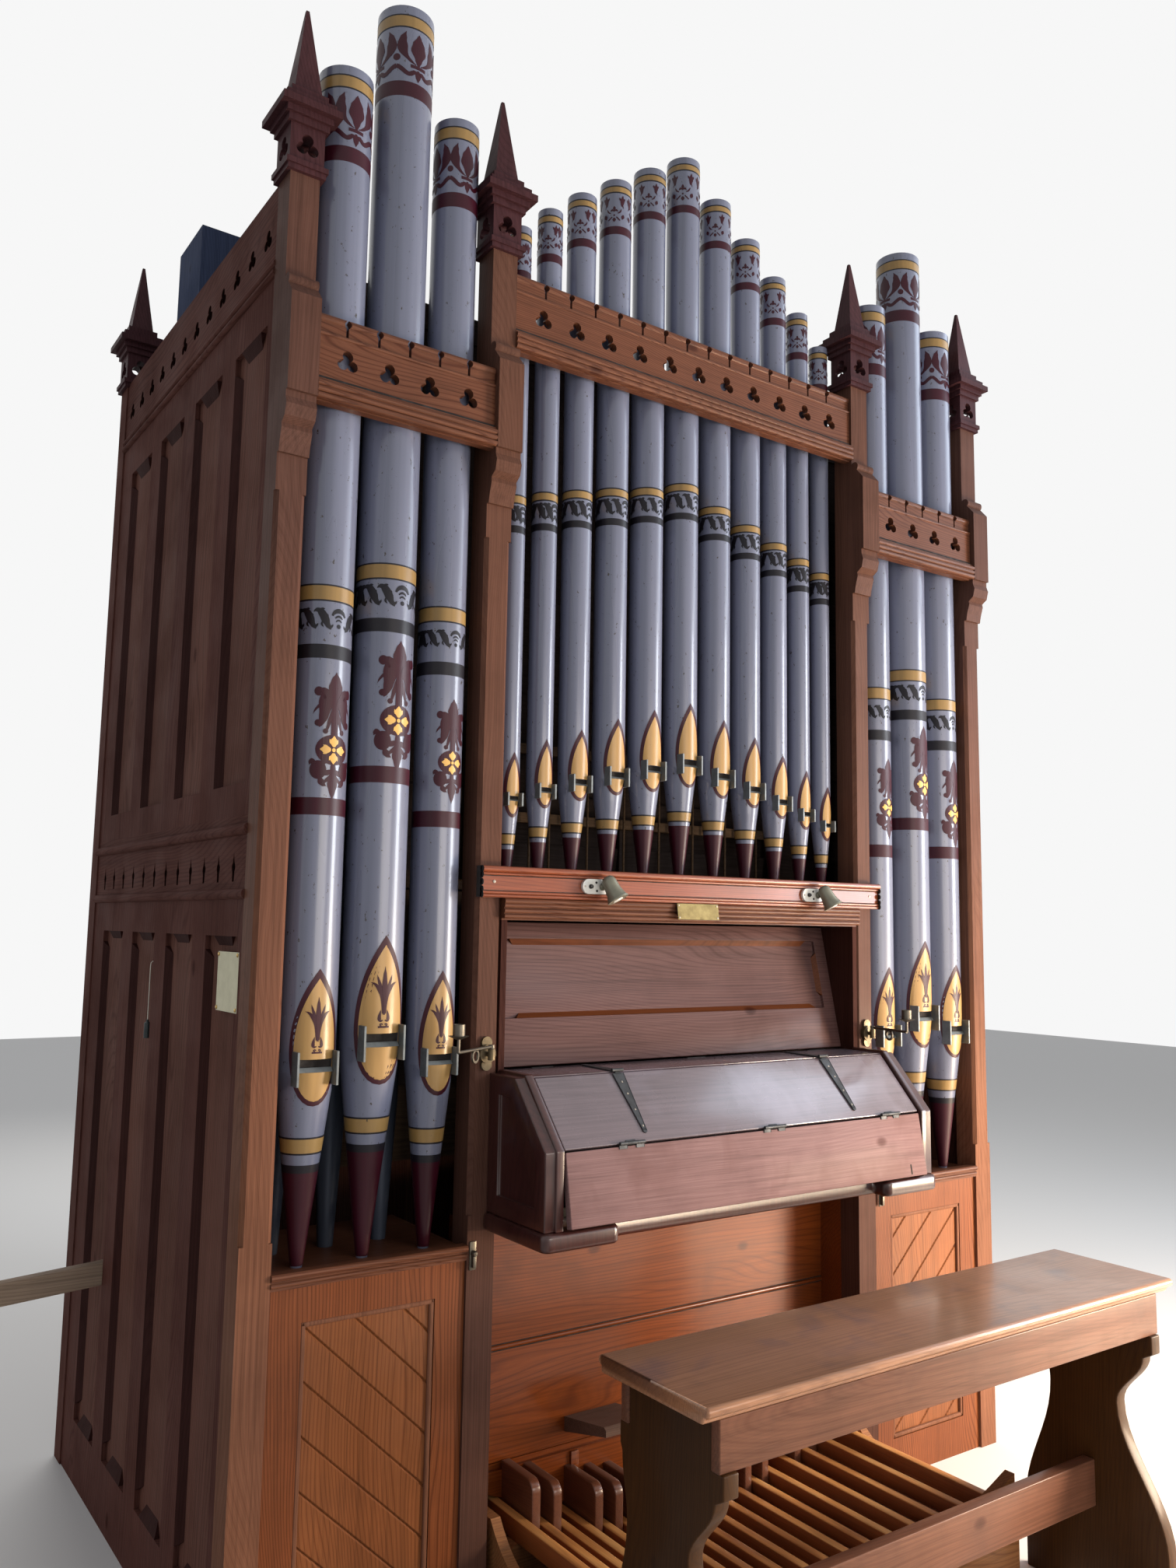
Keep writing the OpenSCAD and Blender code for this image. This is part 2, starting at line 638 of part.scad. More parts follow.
// Kneeboard of wide boards behind the inner posts, with a return board at each end.
// The pedals run in under its lowest board.
knee_y = 110;
knee_t = 24;
knee_low_z = 216;
knee_joint_z = 260;
knee_bead_z = 512;
board_gap = 2;
module kneeboard() color("peru") {
    for (z = [[knee_low_z, knee_joint_z], [knee_joint_z + board_gap, knee_bead_z], [knee_bead_z + board_gap, bed_z - bed_t]])
        box(-centre_bay_w / 2, centre_bay_w / 2, knee_y, knee_y + knee_t, z[0], z[1]);
    for (side = [-1, 1]) translate([side * (centre_bay_w / 2 + 10), 0, 0])
        box(-10, 10, post_w / 2, knee_y + knee_t, 0, bed_z - bed_t);
}

module swell_pedal() color("sienna") translate([-210, knee_y, 0]) along_x(150)
    polygon([[0, 289], [0, 323], [-160, 350], [-168, 344], [-168, 330]]);

// Pipes: a cylinder with an open top, a conical foot, and a mouth with ears
module pipe(x, y, r, base, mouth, top) {
    slot_h = r * 0.42;
    color("slategray") translate([x, y, 0]) {
        difference() {
            union() {
                translate([0, 0, mouth]) cylinder(r = r, h = top - mouth);
                translate([0, 0, base]) cylinder(r1 = pipe_tip_r, r2 = r, h = mouth - base);
            }
            translate([0, 0, mouth + 40]) cylinder(r = r - 2, h = top);
            box(-r * 0.62, r * 0.62, -r - 1, -r * 0.72, mouth, mouth + slot_h);
        }
        for (side = [-1, 1])
            translate([side * r * 0.68 - 2, -r - 10, mouth - slot_h]) cube([4, r * 0.3 + 12, 2.6 * slot_h]);
    }
}

tower_pipe_y = tower_rail_y + rail_t + tower_r_mid + 0.5;
tower_mouth = 1178;
module tower_pipes(side) {
    pipe(side * (bay_x + tower_pitch), tower_pipe_y, tower_r_out, toe_z, tower_mouth, tower_top_side);
    pipe(side * bay_x, tower_pipe_y, tower_r_mid, toe_z, tower_mouth + 45, tower_top_mid);
    pipe(side * (bay_x - tower_pitch), tower_pipe_y, tower_r_in, toe_z, tower_mouth, tower_top_side);
}

module left_tower_pipes() tower_pipes(-1);
module right_tower_pipes() tower_pipes(1);

centre_pipe_y = 46;
centre_mouth = 1895;
centre_mouth_step = 25;
centre_side = 5;
centre_taper = [0, 2, 4, 8, 14, 18];
function radius_at(n) = centre_r - centre_taper[n];
function radii_to(n) = n == 0 ? radius_at(0) : radii_to(n - 1) + 2 * radius_at(n);
centre_gap = (centre_bay_w / 2 - radii_to(centre_side)) / (centre_side + 1);
function centre_x(n) = radii_to(n) - radius_at(n) + n * centre_gap;
module centre_pipes() for (i = [-centre_side : centre_side]) {
    n = abs(i);
    pipe(sign(i) * centre_x(n), centre_pipe_y, radius_at(n), impost_z,
        centre_mouth - centre_mouth_step * n, centre_top - centre_step * n);
}

inner_pipe_r = 34;
inner_pipe_y = 150;
inner_foot_h = 300;
inner_body_h = 1500;
inner_step = 180;
inner_side = 60;
module inner_pipes() color("darkslategray") for (side = [-1, 1], i = [-1 : 1]) {
    spread = bay_w / 2 - inner_pipe_r - inner_side;
    translate([side * (bay_x + inner_side / 2 + i * spread), inner_pipe_y, toe_z]) {
        cylinder(r1 = inner_pipe_r / 2, r2 = inner_pipe_r, h = inner_foot_h);
        translate([0, 0, inner_foot_h]) cylinder(r = inner_pipe_r, h = inner_body_h - inner_step * i);
    }
}

// Wind chest between the side walls, and the square wooden pipe that rises above the case
chest_z = 900;
chest_h = 200;
chest_front_y = 380;
wooden_w = 180;
wooden_d = 205;
wooden_y = 840;
wooden_top = 3412;
wooden_wall = 18;
wooden_depth = 112;
module wind_chest() color("tan") {
    w = half_w - side_in - side_t;
    box(-w, w, chest_front_y, rear_post_y - post_w / 2, chest_z, chest_z + chest_h);
}

module wooden_pipe() color("dimgray") translate([-half_w + 70, wooden_y, 0]) difference() {
    box(0, wooden_w, 0, wooden_d, chest_z + chest_h, wooden_top);
    box(wooden_wall, wooden_w - wooden_wall, wooden_wall, wooden_d - wooden_wall, wooden_top - wooden_depth, wooden_top + 1);
}

// Pedalboard: curved end boards and cross rails carry the keys, which rise to the sides
pedal_x = 5;
pedal_margin = 30;
pedal_end_t = 24;
pedal_side_gap = 5;
pedal_naturals = floor((centre_bay_w - 2 * (pedal_margin + pedal_end_t + pedal_x + pedal_side_gap)) / pedal_pitch);
pedal_front_y = -500;
pedal_back_y = 160;
pedal_mid_z = 100;
pedal_rise = 112;
pedal_key_h = 46;
pedal_end_low = 130;
pedal_end_bend = -20;
pedal_end_sweep = 150;
heel_rise = 8;
pedal_rail = 40;
sharp_front_y = -30;
sharp_rise = 88;
sharp_drop = 20;
pedal_half = pedal_naturals * pedal_pitch / 2 + pedal_margin;
sharp_pattern = [1, 1, 0, 1, 1, 1, 0];
function pedal_at(n) = (n - (pedal_naturals - 1) / 2) * pedal_pitch;
function pedal_lift(x) = pedal_mid_z + pedal_rise * pow(x / pedal_half, 2);

// Outline of a cross rail as (x, z), with a level seat under each natural and each sharp
module pedal_rail_outline() {
    end = pedal_half + pedal_end_t / 4;
    polygon(concat([[-end, 0], [-end, pedal_end_low - 10]],
        [for (i = [0 : 2 * pedal_naturals - 2], e = [-1, 1])
            [pedal_at(i / 2) + e * pedal_pitch / 4, pedal_lift(pedal_at(i / 2)) - pedal_key_h]],
        [[end, pedal_end_low - 10], [end, 0]]));
}

// End board as (y, z): high at the back, with a hollow sweep down to its low front
module pedal_end_outline() {
    high = pedal_lift(pedal_half);
    polygon(concat([[pedal_front_y - pedal_end_t, 0], [pedal_front_y - pedal_end_t, pedal_end_low]],
        [for (t = [1 : -0.1 : 0]) [pedal_end_bend - t * pedal_end_sweep, pedal_end_low + (high - pedal_end_low) * pow(1 - t, 2.4)]],
        [[knee_y - 6, high], [knee_y - 6, 0]]));
}

module pedalboard_frame() color("sienna") translate([pedal_x, 0, 0]) {
    for (side = [-1, 1]) translate([side * (pedal_half + pedal_end_t / 2), 0, 0]) along_x(pedal_end_t) pedal_end_outline();
    for (y = [pedal_front_y, -pedal_rail / 2, pedal_back_y - pedal_rail]) along_y(y, pedal_rail) pedal_rail_outline();
    along_y(pedal_front_y - pedal_end_t, pedal_end_t + 2) heel_outline();
}

// Heel rail across the front ends of the keys, hollow along its top
module heel_outline() {
    end = pedal_half + pedal_end_t / 2;
    polygon(concat([[-end, 0]], [for (t = [-1 : 0.1 : 1]) [t * end, pedal_lift(t * end) + heel_rise]], [[end, 0]]));
}

module natural_pedals() color("burlywood") for (i = [0 : pedal_naturals - 1]) {
    x = pedal_at(i);
    translate([pedal_x, 0, 0])
        box(x - pedal_w / 2, x + pedal_w / 2, pedal_front_y + 3, pedal_back_y, pedal_lift(x) - pedal_key_h, pedal_lift(x));
}

module sharp_pedals() color("saddlebrown") for (i = [0 : pedal_naturals - 2]) if (sharp_pattern[i % 7] == 1) {
    x = pedal_at(i + 0.5);
    nose = 26;
    translate([pedal_x + x, 0, pedal_lift(x) - pedal_key_h]) along_x(pedal_w) {
        translate([pedal_front_y + 3, 0]) square([pedal_back_y - pedal_front_y - 3, pedal_key_h - sharp_drop]);
        translate([sharp_front_y, 0]) square([knee_y - 6 - sharp_front_y, pedal_key_h + sharp_rise - nose]);
        translate([sharp_front_y + nose, 0]) square([knee_y - 6 - sharp_front_y - nose, pedal_key_h + sharp_rise]);
        translate([sharp_front_y + nose, pedal_key_h + sharp_rise - nose]) circle(nose);
    }
}

// Bench
bench_x = 20;
bench_y0 = -848;
bench_nosing = 9;
module bench_top() color("saddlebrown") translate([bench_x, bench_y0, bench_z]) along_x(bench_l) {
    polygon([[bench_nosing, 0], [bench_d - bench_nosing, 0], [bench_d - bench_nosing, -bench_t],
        [bench_nosing + 7, -bench_t], [bench_nosing + 5, -2 * bench_nosing - 5], [bench_nosing, -2 * bench_nosing]]);
    for (y = [bench_nosing, bench_d - bench_nosing]) translate([y, -bench_nosing]) circle(bench_nosing);
}

leg_in = 60;
leg_t = 34;
apron_h = 86;
stretcher_y = 158;
stretcher_t = 30;
stretcher_z = 200;
stretcher_h = 100;
module bench_rails() color("saddlebrown") translate([bench_x, 0, 0]) {
    w = bench_l / 2 - leg_in + 20;
    box(-w, w, bench_y0 + 18, bench_y0 + 40, bench_z - bench_t - apron_h, bench_z - bench_t);
    box(-w, w, bench_y0 + bench_d - 40, bench_y0 + bench_d - 18, bench_z - bench_t - apron_h, bench_z - bench_t);
    box(-bench_l / 2 + leg_in + leg_t / 2, bench_l / 2 - leg_in - leg_t / 2,
        bench_y0 + stretcher_y, bench_y0 + stretcher_y + stretcher_t, stretcher_z, stretcher_z + stretcher_h);
}

// Each leg is waisted, spreads to a foot and is arched underneath
leg_waist_z = 440;
leg_head_z = 552;
leg_foot_z = 150;
leg_front = [34, 100, -10];
leg_back = [18, 34, -40];
leg_arch_h = 42;
leg_steps = 10;
function eased(a, b, t) = a + (b - a) * (1 - cos(180 * t)) / 2;
function leg_edge(rows) = concat(
    [for (i = [0 : leg_steps]) [eased(rows[0], rows[1], i / leg_steps), leg_head_z - (leg_head_z - leg_waist_z) * i / leg_steps]],
    [for (i = [1 : leg_steps]) [eased(rows[1], rows[2], i / leg_steps), leg_waist_z - (leg_waist_z - leg_foot_z) * i / leg_steps]]);
module leg_outline() {
    head_z = bench_z - bench_t;
    back = leg_edge(leg_back);
    difference() {
        polygon(concat([[12, head_z], [12, leg_head_z + 12]], leg_edge(leg_front), [[leg_front[2], 0], [bench_d - leg_back[2], 0]],
            [for (i = [len(back) - 1 : -1 : 0]) [bench_d - back[i][0], back[i][1]]],
            [[bench_d - 12, leg_head_z + 12], [bench_d - 12, head_z]]));
        translate([bench_d / 2 + 10, -leg_arch_h]) circle(2.2 * leg_arch_h);
    }
}

module bench_leg(x) color("saddlebrown") difference() {
    translate([x, bench_y0, 0]) along_x(leg_t) leg_outline();
    box(x - leg_t, x + leg_t, bench_y0 - 20, bench_y0 + 40, bench_z - bench_t - apron_h, bench_z);
    box(x - leg_t, x + leg_t, bench_y0 + bench_d - 40, bench_y0 + bench_d + 50, bench_z - bench_t - apron_h, bench_z);
}

module bench_legs() for (side = [-1, 1]) bench_leg(bench_x + side * (bench_l / 2 - leg_in));

// Candle sconces on the inner posts
sconce_z = 1198;
rose_t = 12;
arm_len = 150;
module sconce_rose(x) color("goldenrod") {
    translate([x, front_y, sconce_z]) rotate([90, 0, 0]) cylinder(r = 20, h = rose_t);
    for (z = [-24, 24]) translate([x, front_y, sconce_z + z]) rotate([90, 0, 0]) cylinder(r = 13, h = rose_t - 5);
    difference() {
        translate([x, front_y - rose_t - 14, sconce_z - 12]) cylinder(r = 8, h = 24);
        translate([x, front_y - rose_t - 14, sconce_z - 13]) cylinder(r = 3.05, h = 26);
    }
    translate([x, front_y - rose_t, sconce_z]) rotate([90, 0, 0]) cylinder(r = 5, h = 7);
}

module sconce(x, angle) color("dimgray") translate([x, front_y - rose_t - 14, sconce_z]) {
    translate([0, 0, -13]) cylinder(r = 3, h = 28);
    translate([0, 0, 13]) cylinder(r = 7, h = 8);
    rotate([0, 0, angle]) {
        translate([0, 0, 17]) rotate([90, 0, 0]) cylinder(r = 3.5, h = arm_len);
        translate([0, -arm_len, 17]) cylinder(r = 3.5, h = 38);
        translate([-2, -arm_len / 2, 3]) rotate([0, 90, 0]) difference() {
            cylinder(r = 15, h = 4);
            translate([0, 0, -1]) cylinder(r = 10, h = 6);
        }
        translate([0, -arm_len, 44]) cylinder(r1 = 6, r2 = 22, h = 7);
        translate([0, -arm_len, 51]) difference() {
            cylinder(r = 13, h = 24);
            translate([0, 0, 3]) cylinder(r = 11, h = 24);
        }
    }
}

module left_sconce_rose() sconce_rose(-inner_x);
module right_sconce_rose() sconce_rose(inner_x);
module left_sconce() sconce(-inner_x, -58);
module right_sconce() sconce(inner_x, -12);

// Two small lamps on plates on the front of the impost
lamp_plate_r = 17;
lamp_plate_half = 22;
lamp_x = [-336, 383];
lamp_z = impost_z - 38;
lamp_arm_x = 24;
lamp_out = 34;
module spot_lamps() color("gainsboro") for (x = lamp_x) {
    y = front_y - impost_proud;
    for (side = [-1, 1]) translate([x + side * lamp_plate_half, y, lamp_z]) rotate([90, 0, 0])
        cylinder(r = lamp_plate_r, h = 6);
    box(x - lamp_plate_half, x + lamp_plate_half, y - 6, y, lamp_z - lamp_plate_r, lamp_z + lamp_plate_r);
    translate([x + lamp_arm_x, y, lamp_z]) rotate([90, 0, 0]) cylinder(r = 5, h = lamp_out + 4);
    translate([x + lamp_arm_x, y - lamp_out, lamp_z]) {
        sphere(11);
        rotate([145, 0, 35]) {
            translate([0, 0, -24]) sphere(14);
            translate([0, 0, -24]) cylinder(r = 14, h = 30);
            translate([0, 0, 5]) cylinder(r1 = 14, r2 = 25, h = 34);
        }
    }
}

// Hand lever for the blowing, through the left side wall, on a pin in a bracket behind the wall
lever_off = 81;
lever_y = panel_y(side_panels - 1) - lever_off;
lever_z = 575;
lever_w = 32;
lever_h = 56;
lever_pivot_x = -half_w + 75;
lever_out = 300;
lever_in = 120;
lever_slope = 4;
lever_slot_w = 42;
lever_slot_h = 150;
lever_pin_r = 7;
pin_play = 0.05;
module blowing_lever() color("tan") translate([lever_pivot_x, lever_y, lever_z]) difference() {
    rotate([0, -lever_slope, 0])
        box(-half_w - lever_out - lever_pivot_x, lever_in, -lever_w / 2, lever_w / 2, -lever_h / 2, lever_h / 2);
    translate([0, lever_w, 0]) rotate([90, 0, 0]) cylinder(r = lever_pin_r + pin_play, h = 2 * lever_w);
}

module lever_bracket() color("dimgray") {
    wall_x = -half_w + side_in + side_t;
    ear_y = lever_w / 2 + 6;
    low_z = lever_z - lever_h / 2 - 40;
    box(wall_x, wall_x + 14, panel_y(2) + side_panel_w / 2 + 10, panel_y(3) + side_panel_w / 2 + 60, low_z - 60, low_z);
    for (side = [-1, 1]) box(wall_x, lever_pivot_x + 20, lever_y + side * (ear_y + 5) - 5, lever_y + side * (ear_y + 5) + 5,
        low_z - 60, lever_z + 20);
    translate([lever_pivot_x, lever_y + ear_y + 8, lever_z]) rotate([90, 0, 0]) cylinder(r = lever_pin_r, h = 2 * ear_y + 16);
}

post(-corner_x, 0);  // outer_left_post
post(-inner_x, 0);  // inner_left_post
post(inner_x, 0);  // inner_right_post
post(corner_x, 0);  // outer_right_post
post(-corner_x, rear_post_y, false);  // rear_left_post
post(corner_x, rear_post_y, false);  // rear_right_post
pinnacles();
left_tower_rail();
centre_rail();
right_tower_rail();
left_tower_sill();
right_tower_sill();
left_tower_panel();
right_tower_panel();
left_side_frame();
left_side_panels();
left_side_friezes();
right_side_frame();
right_side_panels();
right_side_friezes();
back_frame();
back_panels();
impost();
desk_rail();
centre_toe_board();
music_desk();
music_desk_cheeks();
left_cheek();
right_cheek();
key_bed();
desk_top_strip();
name_board();
lower_manual();
upper_manual();
stop_knobs();
lid();
lid_hinges();
fixed_straps();
lid_flap();
flap_hinges();
kneeboard();
swell_pedal();
left_tower_pipes();
centre_pipes();
right_tower_pipes();
inner_pipes();
wind_chest();
wooden_pipe();
pedalboard_frame();
natural_pedals();
sharp_pedals();
bench_top();
bench_rails();
bench_legs();
left_sconce_rose();
left_sconce();
right_sconce_rose();
right_sconce();
spot_lamps();
blowing_lever();
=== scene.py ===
# Small pipe organ: finishes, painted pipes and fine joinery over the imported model.
import bpy
import bmesh
import math
from mathutils import Matrix, Vector


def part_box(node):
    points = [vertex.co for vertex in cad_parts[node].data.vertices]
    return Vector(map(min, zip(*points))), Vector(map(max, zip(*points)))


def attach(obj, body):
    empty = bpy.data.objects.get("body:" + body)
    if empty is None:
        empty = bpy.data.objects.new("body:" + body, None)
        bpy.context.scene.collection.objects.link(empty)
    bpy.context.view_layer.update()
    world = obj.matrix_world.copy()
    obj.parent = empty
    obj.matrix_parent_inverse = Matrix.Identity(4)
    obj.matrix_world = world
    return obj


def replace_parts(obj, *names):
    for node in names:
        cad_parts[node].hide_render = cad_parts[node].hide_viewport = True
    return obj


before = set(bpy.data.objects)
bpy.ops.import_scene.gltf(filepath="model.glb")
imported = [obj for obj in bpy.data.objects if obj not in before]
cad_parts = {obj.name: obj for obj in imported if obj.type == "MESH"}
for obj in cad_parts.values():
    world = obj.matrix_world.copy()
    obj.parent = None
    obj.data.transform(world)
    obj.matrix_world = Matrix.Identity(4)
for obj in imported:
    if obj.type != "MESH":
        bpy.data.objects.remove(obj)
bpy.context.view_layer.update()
mm = 0.001
upright = Vector((0, 0, 1))

print("stage: camera and light")

cameraSetup = {
    "place": (-1.9961, -2.3886, 1.4800),  # metres
    "yaw": 35.0065,        # degrees towards +X from +Y
    "pitch": 6.738,        # degrees upwards
    "roll": 0.921,
    "lens": 27.719,
    "sensor": 36,          # mm high
    "farthest": 100,
}


def addCamera(c):
    yaw, pitch, roll = (math.radians(c[k]) for k in ("yaw", "pitch", "roll"))
    level = math.cos(pitch)
    ahead = Vector((math.sin(yaw) * level, math.cos(yaw) * level, math.sin(pitch)))
    side = Vector((math.cos(yaw), -math.sin(yaw), 0))
    up = side.cross(ahead)
    side, up = side * math.cos(roll) + up * math.sin(roll), up * math.cos(roll) - side * math.sin(roll)
    data = bpy.data.cameras.new("photoView")
    data.sensor_fit = "VERTICAL"
    data.sensor_height = c["sensor"]
    data.lens = c["lens"]
    data.clip_end = c["farthest"]
    camera = bpy.data.objects.new("photoView", data)
    turn = Matrix((side, up, -ahead)).transposed().to_4x4()
    camera.matrix_world = Matrix.Translation(c["place"]) @ turn
    bpy.context.scene.collection.objects.link(camera)
    bpy.context.scene.camera = camera


studio = {
    "lamps": {
        # name: place, aimed at, size (m), power (W), colour
        "rightWindow": ((4.3, -3.1, 2.2), (0, 0, 1.1), (1.6, 2.6), 235, (0.88, 0.93, 1.0)),
        "frontSoft": ((0.3, -5.4, 1.9), (0, 0, 0.8), (3.4, 2.0), 105, (1.0, 0.93, 0.84)),
        "skyWindow": ((3.5, -1.05, 4.1), (0.2, -0.2, 1.08), (1.8, 1.8), 30, (0.70, 0.83, 1.0)),
        "rearFill": ((0.8, 5.4, 4.2), (0, 1.0, 1.6), (3.4, 2.6), 90, (1.0, 0.98, 0.95)),
        "floorGlow": ((2.4, -1.9, 0.80), (0.2, -0.30, 0.10), (1.0, 0.6), 165, (1.0, 0.78, 0.54)),
    },
    "worldLight": 0.40,
    "worldColour": (0.93, 0.95, 1.0, 1),
    "paleBackground": 0.93,
    "floorColour": (0.74, 0.73, 0.71, 1),
    "floorRoughness": 0.7,
    "floorHalf": 14,
}


def addLights(lamps):
    for name, (place, target, size, power, colour) in lamps.items():
        data = bpy.data.lights.new(name, "AREA")
        data.shape = "RECTANGLE"
        data.size, data.size_y = size
        data.energy = power
        data.color = colour
        lamp = bpy.data.objects.new(name, data)
        lamp.location = place
        lamp.rotation_euler = (Vector(target) - Vector(place)).to_track_quat("-Z", "Y").to_euler()
        bpy.context.scene.collection.objects.link(lamp)


# Adds shader nodes and links them by short calls
class NodeSheet:
    def __init__(self, tree):
        self.tree = tree
        self.tree.nodes.clear()

    # An input is named by its socket (with _ for a space) or by its number after an i
    def add(self, kind, settings=None, **inputs):
        node = self.tree.nodes.new(kind)
        for key, value in (settings or {}).items():
            setattr(node, key, value)
        for key, value in inputs.items():
            numbered = key[0] == "i" and key[1:].isdigit()
            socket = node.inputs[int(key[1:]) if numbered else key.replace("_", " ")]
            if isinstance(value, bpy.types.NodeSocket):
                self.tree.links.new(value, socket)
            else:
                socket.default_value = value
        return node


def newSheet(name):
    material = bpy.data.materials.new(name)
    material.use_nodes = True
    return material, NodeSheet(material.node_tree)


def calc(sheet, operation, first, second=0.5):
    return sheet.add("ShaderNodeMath", {"operation": operation}, i0=first, i1=second).outputs[0]


def finish(sheet, colour, roughness, normal=None, **more):
    inputs = {"Base_Color": colour, "Roughness": roughness, **more}
    if normal is not None:
        inputs["Normal"] = normal
    shader = sheet.add("ShaderNodeBsdfPrincipled", **inputs)
    sheet.add("ShaderNodeOutputMaterial", Surface=shader.outputs[0])


def addWorld(s):
    world = bpy.data.worlds.new("studioWorld")
    bpy.context.scene.world = world
    world.use_nodes = True
    sheet = NodeSheet(world.node_tree)
    path = sheet.add("ShaderNodeLightPath").outputs
    seen = calc(sheet, "MAXIMUM", path["Is Camera Ray"], path["Is Glossy Ray"])
    seen = calc(sheet, "MAXIMUM", seen, path["Is Transmission Ray"])
    plain = sheet.add("ShaderNodeBackground", Color=s["worldColour"], Strength=s["worldLight"])
    shown = sheet.add("ShaderNodeBackground", Color=(1, 1, 1, 1), Strength=s["paleBackground"])
    mix = sheet.add("ShaderNodeMixShader", i0=seen, i1=plain.outputs[0], i2=shown.outputs[0])
    sheet.add("ShaderNodeOutputWorld", Surface=mix.outputs[0])


def addFloor(s):
    bm = bmesh.new()
    bmesh.ops.create_grid(bm, x_segments=1, y_segments=1, size=s["floorHalf"])
    mesh = bpy.data.meshes.new("studioFloor")
    bm.to_mesh(mesh)
    bm.free()
    floor = bpy.data.objects.new("studioFloor", mesh)
    bpy.context.scene.collection.objects.link(floor)
    material, sheet = newSheet("studioFloor")
    finish(sheet, s["floorColour"], s["floorRoughness"])
    mesh.materials.append(material)


bpy.context.scene.view_settings.view_transform = "Standard"
addCamera(cameraSetup)
addLights(studio["lamps"])
addWorld(studio)
addFloor(studio)

print("stage: materials")


def pale(colour):
    return tuple(colour) + (1.0,) if len(colour) == 3 else tuple(colour)


# Stops are (place, colour) or (place, grey)
def ramp(sheet, factor, stops):
    node = sheet.add("ShaderNodeValToRGB", Fac=factor)
    node.color_ramp.interpolation = "LINEAR"
    while len(node.color_ramp.elements) < len(stops):
        node.color_ramp.elements.new(0.5)
    for element, (at, colour) in zip(node.color_ramp.elements, stops):
        element.position = at
        element.color = pale(colour) if isinstance(colour, tuple) else (colour, colour, colour, 1)
    return node.outputs["Color"]


def mixColour(sheet, mode, factor, first, second):
    settings = {"data_type": "RGBA", "blend_type": mode}
    return sheet.add("ShaderNodeMix", settings, i0=factor, i6=first, i7=second).outputs[2]


# Multiplies a colour by a ramp of some texture
def shaded(sheet, colour, amount, factor, stops):
    return mixColour(sheet, "MULTIPLY", amount, colour, ramp(sheet, factor, stops))


def objectPoint(sheet, scale=(1, 1, 1), move=(0, 0, 0)):
    where = sheet.add("ShaderNodeTexCoord").outputs["Object"]
    return sheet.add("ShaderNodeMapping", Vector=where, Scale=scale, Location=move).outputs[0]


# One axis of the object's own coordinates or of its normal
def coordinate(sheet, axis, source="Object"):
    where = sheet.add("ShaderNodeTexCoord").outputs[source]
    return sheet.add("ShaderNodeSeparateXYZ", Vector=where).outputs[axis]


def between(sheet, value, low, high):
    return sheet.add("ShaderNodeMapRange", i0=value, i1=low, i2=high).outputs[0]


def noise(sheet, vector, scale, detail=3.0, rough=0.55, distort=0.0):
    return sheet.add("ShaderNodeTexNoise", Vector=vector, Scale=scale, Detail=detail, Roughness=rough,
                     Distortion=distort).outputs["Fac"]


def bump(sheet, height, strength, distance):
    return sheet.add("ShaderNodeBump", Height=height, Strength=strength, Distance=distance).outputs[0]


